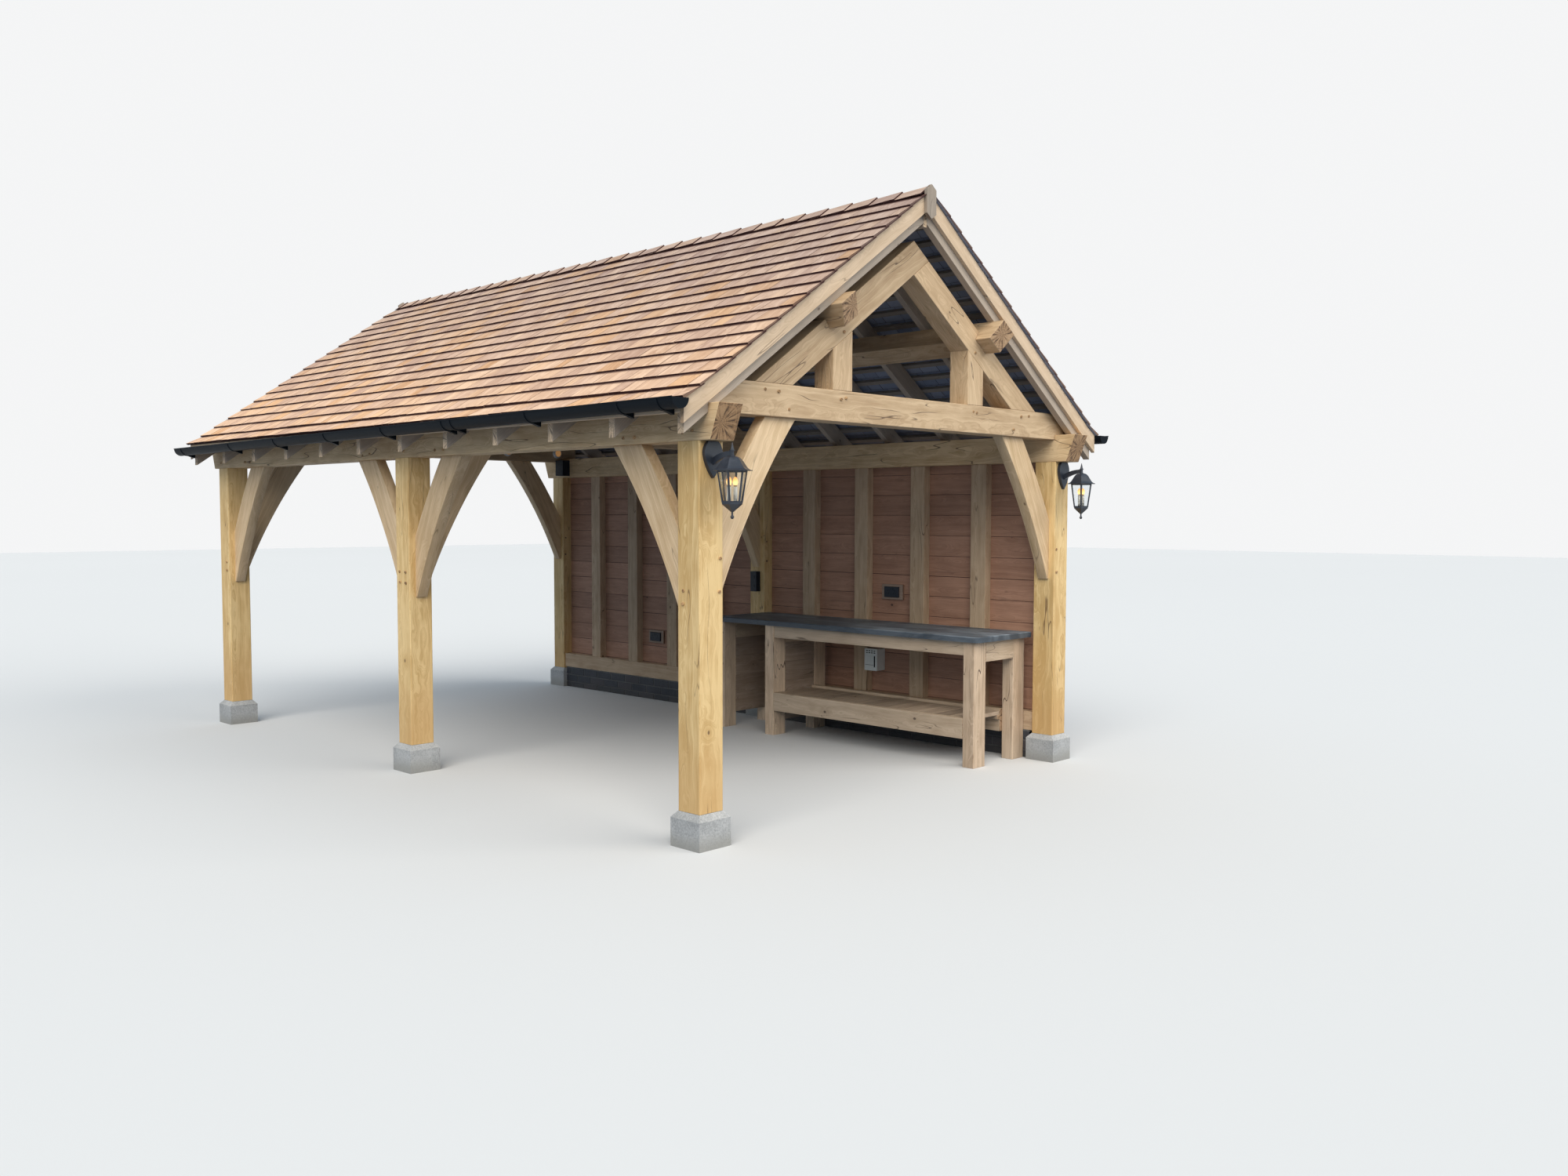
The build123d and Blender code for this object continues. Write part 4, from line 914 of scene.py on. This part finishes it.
# Groove faces painted near-black: painted shadow in each joint.
joint_shadow_tone = blend(tree, marked(tree, "groove"), surface["Color"], (0.075, 0.036, 0.027))
shade(tree, output, joint_shadow_tone, surface["Roughness"], surface["Height"])
mesh = lay_boards()
mark_lengths(mesh, "boards")
place_piece("weatherboards", mesh, board_wood, "wall_boarding", "wall_boards")

# Counter frame: planed oak rails, slatted shelf and sturdy legs, pegged and screwed, greyer than the
# building's frame. The shelf is painted darker for the shade under the slab.
counter_oak = sawn_finish(
    "counter_oak", (0.65, 0.505, 0.36), (0.42, 0.305, 0.20), (0.07, 0.045, 0.03),
    gloss=0.6,
)
timber("counter_rails", counter_oak, "counter_oak", ease=0.002)
shelf_oak = sawn_finish(
    "shelf_oak", (0.43, 0.33, 0.24), (0.27, 0.195, 0.135), (0.05, 0.033, 0.022),
    variety=0.5, gloss=0.6,
)
timber("counter_shelf", shelf_oak, "counter_oak", ease=0.002)
leg_oak = sawn_finish(
    "leg_oak", (0.75, 0.57, 0.40), (0.50, 0.355, 0.235), (0.07, 0.042, 0.03),
    figure=1.4, shakes=1.0, gloss=0.6,
)
timber("counter_legs", leg_oak, "counter_oak", ease=0.002)

# Counter end panels: four weathered oak boards laid level in each and screwed to the legs.
panel_oak = sawn_finish(
    "panel_oak", (0.40, 0.30, 0.225), (0.26, 0.185, 0.13), (0.05, 0.035, 0.025),
    figure=1.1, shakes=0.6, variety=0.25,
)
panel_thickness, panel_count, panel_joint = 0.022, 4, 0.0006
panel_low, panel_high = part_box("counter_panels")
panel_rise = (panel_high.z - panel_low.z) / panel_count
panel_boards = []
for start in (panel_low.y, panel_high.y - panel_thickness):
    for number in range(panel_count):
        low = panel_low.z + number * panel_rise + panel_joint
        high = panel_low.z + number * panel_rise + panel_rise - panel_joint
        panel_boards.append(((panel_low.x, start, low), (panel_high.x, start + panel_thickness, high)))
mesh = block_mesh("panel_boards", panel_boards)
mark_lengths(mesh, "panels")
place_piece("panel_boards", mesh, panel_oak, "counter_oak", "counter_panels", ease=0.002)

# Counter slab: one 40 mm riven slate with rounded corners, dark blue grey with paler cloudy streaks,
# bedded on the rails.
slate, tree, output = new_material("riven_slate")
where = own_place(tree)
streaky = node(tree, "VectorMath", {0: where, 1: (9.0, 2.2, 6.0)}, operation="MULTIPLY").outputs[0]
cloud = noise(tree, 1.0, 7.0, streaky, Roughness=0.62, Distortion=0.6)
flake = noise(tree, 45.0, 5.0, where)
tone = blend(tree, spread(tree, cloud, 0.38, 0.66), (0.062, 0.084, 0.108), (0.23, 0.27, 0.31))
tone = blend(tree, spread(tree, flake, 0.62, 0.78, 0.0, 0.35), tone, (0.22, 0.23, 0.24))
upward = parts(tree, node(tree, "NewGeometry").outputs["Normal"])[2]
tone = blend(tree, spread(tree, upward, 0.3, 0.8, 0.62, 0.0), tone, (0.022, 0.032, 0.045))
relief = times_plus(tree, cloud, 1.2, times(tree, flake, 0.3))
shade(tree, output, tone, spread(tree, cloud, 0.3, 0.7, 0.42, 0.62), relief)
dress("counter_slab", slate)


# Lanterns: six-sided satin black lanterns on curved arms, screwed to the front corner posts, with a
# bar over each corner of the cage and clear panes between the bars.
def solid_boxes(node_name):
    """Lowest and highest corners of every separate solid in a node, in order of place."""
    mesh = welded(node_name, flat=False)
    corners, owner = separate(mesh)
    bpy.data.meshes.remove(mesh)
    boxes = []
    for solid in np.unique(owner):
        mine = corners[owner == solid]
        boxes.append((Vector(mine.min(0)), Vector(mine.max(0))))
    return sorted(boxes, key=lambda box: tuple(round(value, 3) for value in box[0]))


# The pale bluish dust tone here is painted sheen from the sky on the lantern's upward faces.
lantern_black = finish(
    "lantern_black",
    coated,
    {"Coat": (0.020, 0.026, 0.038), "Dust And Sheen": (0.085, 0.095, 0.12), "Dust And Sheen Amount": 0.4, "Gloss": 0.30},
    depth=0.0003,
    Specular_IOR_Level=0.55,
)
dress("lantern_frames", lantern_black)

cage_half_foot, cage_half_top = 0.056, 0.082
bar_half, bar_proud, bar_deep = 0.0062, 0.0016, 0.005
bar_profile = (
    (-bar_deep, -bar_half),
    (-bar_deep * 0.4, -bar_half),
    (bar_proud, -bar_half * 0.35),
    (bar_proud, bar_half * 0.35),
    (-bar_deep * 0.4, bar_half),
    (-bar_deep, bar_half),
)
bars = []
for low, high in solid_boxes("lantern_glass"):
    centre = (low + high) / 2
    for corner in range(6):
        angle = math.radians(30 + 60 * corner)
        out = Vector((math.cos(angle), math.sin(angle), 0))
        aside = Vector((-math.sin(angle), math.cos(angle), 0))
        rings = []
        for level, reach in ((low.z - 0.002, cage_half_foot), (high.z, cage_half_top)):
            spot = Vector((centre.x, centre.y, level))
            rings.append([spot + out * (reach + along) + aside * across for along, across in bar_profile])
        bars.append(rings)
place_piece("cage_bars", tube_mesh("cage_bars", bars), lantern_black, "lantern_black")

pane, tree, output = new_material("pane_glass")
smear = noise(tree, 30.0, 4.0)
pane_tint = blend(tree, smear, (0.97, 0.98, 0.99), (0.92, 0.95, 0.96))
shade(tree, output, pane_tint, spread(tree, smear, 0.3, 0.8, 0.0, 0.04), IOR=1.35, Transmission_Weight=1.0)
dress("lantern_glass", pane)

# Candle lamps: two in each lantern, a cream tube with a brass collar and a glowing amber bulb drawn
# out to a point, standing on the base of the cage.
lamp_boxes = solid_boxes("lantern_lamps")
candle_foot, candle_rise, candle_sides = lamp_boxes[0][0].z, 0.084, 20
candle_top = candle_foot + candle_rise
candle_profile = [
    (0.0105, 0.0),
    (0.0105, 0.080),
    (0.0105 * 0.86, candle_rise),
    (0.0085, 0.0845),
    (0.0085, 0.090),
    (0.0120, 0.097),
    (0.0145, 0.108),
    (0.0130, 0.120),
    (0.0080, 0.130),
    (0.0030, 0.1355),
]
candle, tree, output = new_material("candle_lamp")
level = parts(tree, own_place(tree))[2]
cream = blend(tree, noise(tree, 60.0, 3.0), (0.80, 0.78, 0.72), (0.70, 0.67, 0.60))
tube_tone = blend(tree, spread(tree, level, candle_top - 0.001, candle_top), cream, (0.30, 0.20, 0.09))
lit = spread(tree, level, candle_top + 0.005, candle_top + 0.009)
heart = spread(tree, level, candle_top + 0.040, candle_top + 0.018)
glow_tone = blend(tree, lit, (0.0, 0.0, 0.0), blend(tree, heart, (1.0, 0.42, 0.10), (1.0, 0.66, 0.24)))
lamp_tone = blend(tree, lit, tube_tone, (0.80, 0.50, 0.20))
shade(tree, output, lamp_tone, 0.3, Emission_Color=glow_tone, Emission_Strength=1.25)
candles = []
for low, high in lamp_boxes:
    foot = Vector(((low.x + high.x) / 2, (low.y + high.y) / 2, candle_foot))
    rings = []
    for radius, height in candle_profile:
        angles = [math.tau * step / candle_sides for step in range(candle_sides)]
        spots = [(radius * math.cos(angle), radius * math.sin(angle), height) for angle in angles]
        rings.append([foot + Vector(spot) for spot in spots])
    candles.append(rings)
mesh = tube_mesh("candles", candles)
mesh.polygons.foreach_set("use_smooth", [len(face.vertices) == 4 for face in mesh.polygons])
place_piece("candle_lamps", mesh, candle, "lamp_glow", "lantern_lamps")

# Sockets and switch: navy black plates with rockers and dark pin slots, the sockets on weathered oak
# backing blocks screwed to the boards, the double switch on the middle post.
backing_oak = sawn_finish(
    "backing_oak", (0.36, 0.265, 0.205), (0.25, 0.175, 0.13), (0.06, 0.04, 0.03),
    knots=0.3, shakes=0.3, variety=0.1,
)
timber("socket_backs", backing_oak, "counter_oak", ease=0.003)
black_fitting = finish(
    "black_fitting",
    coated,
    {"Coat": (0.006, 0.012, 0.022), "Dust And Sheen": (0.03, 0.035, 0.042), "Dust And Sheen Amount": 0.2, "Gloss": 0.36},
    depth=0.0002,
    Specular_IOR_Level=0.25,
)
dress("socket_plates", black_fitting)
pin_dark = finish(
    "pin_dark",
    coated,
    {"Coat": (0.002, 0.002, 0.003), "Dust And Sheen": (0.01, 0.01, 0.01), "Dust And Sheen Amount": 0.1, "Gloss": 0.6},
    depth=0.0002,
    Specular_IOR_Level=0.1,
)
socket_shift, rocker_shift, live_pin_shift = 0.036, 0.012, 0.011
rocker_proud, switch_proud, pin_proud, sunk = 0.0022, 0.0026, 0.0004, 0.002
rockers, pins = [], []


def on_plate(face, proud, y, half_width, low_z, high_z):
    """Block on the face of a plate, standing a little proud of it."""
    return ((face - proud, y - half_width, low_z), (face + sunk, y + half_width, high_z))


for low, high in solid_boxes("socket_plates"):
    middle, face = (low + high) / 2, low.x
    for side in (-1, 1):
        if high.y - low.y > high.z - low.z:
            rocker = middle.y + side * rocker_shift
            rockers.append(on_plate(face, rocker_proud, rocker, 0.0055, high.z - 0.030, high.z - 0.011))
            across = middle.y + side * socket_shift
            pins.append(on_plate(face, pin_proud, across, 0.0022, middle.z + 0.006, middle.z + 0.015))
            for y in (across - live_pin_shift, across + live_pin_shift):
                pins.append(on_plate(face, pin_proud, y, 0.0034, middle.z - 0.014, middle.z - 0.0095))
        else:
            rise = middle.z + side * (high.z - low.z) * 0.22
            rockers.append(on_plate(face, switch_proud, middle.y, 0.014, rise - 0.012, rise + 0.012))
build_blocks("socket_rockers", rockers, "rockers", black_fitting, "black_plastic", 0.0008)
# The pin slots are near-black blocks on the plates: painted shade in the slots.
build_blocks("socket_pins", pins, "pins", pin_dark, "black_plastic", 0.0)

# Supply box: a pale grey moulded box with rows of vents at the top, a raised hinged cover and a finger
# slot along the cover's edge, screwed to the boards.
grey_fitting = finish(
    "grey_fitting",
    coated,
    {"Coat": (0.78, 0.81, 0.765), "Dust And Sheen": (0.50, 0.49, 0.45), "Dust And Sheen Amount": 0.3, "Gloss": 0.38},
    depth=0.0003,
)
dress("supply_box", grey_fitting)
low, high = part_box("supply_box")
vent_rows, vent_count, vent_gauge, vent_length, vent_half = 2, 4, 0.027, 0.018, 0.0035
cover = [
    ((low.x - 0.0035, low.y + 0.007, low.z + 0.014), (low.x + 0.002, high.y - 0.007, high.z - 0.052)),
    ((low.x - 0.0055, low.y + 0.036, low.z + 0.052), (low.x + 0.002, high.y - 0.016, high.z - 0.060)),
]
# The vents and the finger slot are near-black blocks on the face: painted shade in the openings.
openings = [
    ((low.x - 0.0041, low.y + 0.017, low.z + 0.030), (low.x, low.y + 0.029, high.z - 0.058)),
    ((low.x - 0.0040, low.y + 0.034, low.z + 0.046), (low.x, high.y - 0.012, low.z + 0.0485)),
]
for row in range(vent_rows):
    for number in range(vent_count):
        start = low.y + 0.018 + vent_gauge * number
        level = high.z - 0.017 - 0.017 * row
        vent_low = (low.x - 0.0005, start, level - vent_half)
        openings.append((vent_low, (low.x + 0.001, start + vent_length, level + vent_half)))
build_blocks("supply_cover", cover, "cover", grey_fitting, "grey_plastic", 0.0015)
build_blocks("supply_slots", openings, "slots", pin_dark, "grey_plastic", 0.0)

# Loudspeaker: a small navy black moulded case with a punched grille over its front, on a bracket
# screwed to the wall plate.
speaker_finish, tree, output = new_material("speaker_finish")
cased = {"Coat": (0.006, 0.010, 0.018), "Dust And Sheen": (0.03, 0.034, 0.04), "Dust And Sheen Amount": 0.2, "Gloss": 0.5}
surface = use_group(tree, coated, cased)
where = own_place(tree)
punched = node(tree, "TexVoronoi", {"Vector": where, "Scale": 170.0, "Randomness": 0.0}).outputs["Distance"]
# Grille holes painted near-black: painted shade inside each hole.
holes = spread(tree, punched, 0.25, 0.40, 0.75, 0.0)
tone = blend(tree, holes, surface["Color"], (0.002, 0.002, 0.003))
sunken = times(tree, holes, -1.0)
shade(tree, output, tone, surface["Roughness"], sunken, 0.001, Specular_IOR_Level=0.25)
dress("speaker", speaker_finish)

# Round lamps: two small lamps with a white rim and an amber dish, screwed to the rear tie beam.
opal, tree, output = new_material("opal_lamp")
dishes = solid_boxes("round_lamps")
dish_radius, dish_edge = 0.033, 0.004
where = parts(tree, own_place(tree))
rises = sums(tree, "SUBTRACT", where[2], (dishes[0][0].z + dishes[0][1].z) / 2)
reaches = []
for low, high in dishes:
    aside = sums(tree, "SUBTRACT", where[0], (low.x + high.x) / 2)
    square = times_plus(tree, aside, aside, times(tree, rises, rises))
    reaches.append(sums(tree, "SQRT", square))
dish = spread(tree, sums(tree, "MINIMUM", *reaches), dish_radius, dish_radius + dish_edge, 1.0, 0.0)
amber = blend(tree, noise(tree, 14.0, 2.0), (0.42, 0.24, 0.10), (0.52, 0.32, 0.15))
dish_tone = blend(tree, dish, (0.80, 0.78, 0.74), amber)
glow_tone = blend(tree, dish, (0.0, 0.0, 0.0), (1.0, 0.50, 0.18))
shade(tree, output, dish_tone, 0.3, Emission_Color=glow_tone, Emission_Strength=0.22)
dress("round_lamps", opal)

low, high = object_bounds()
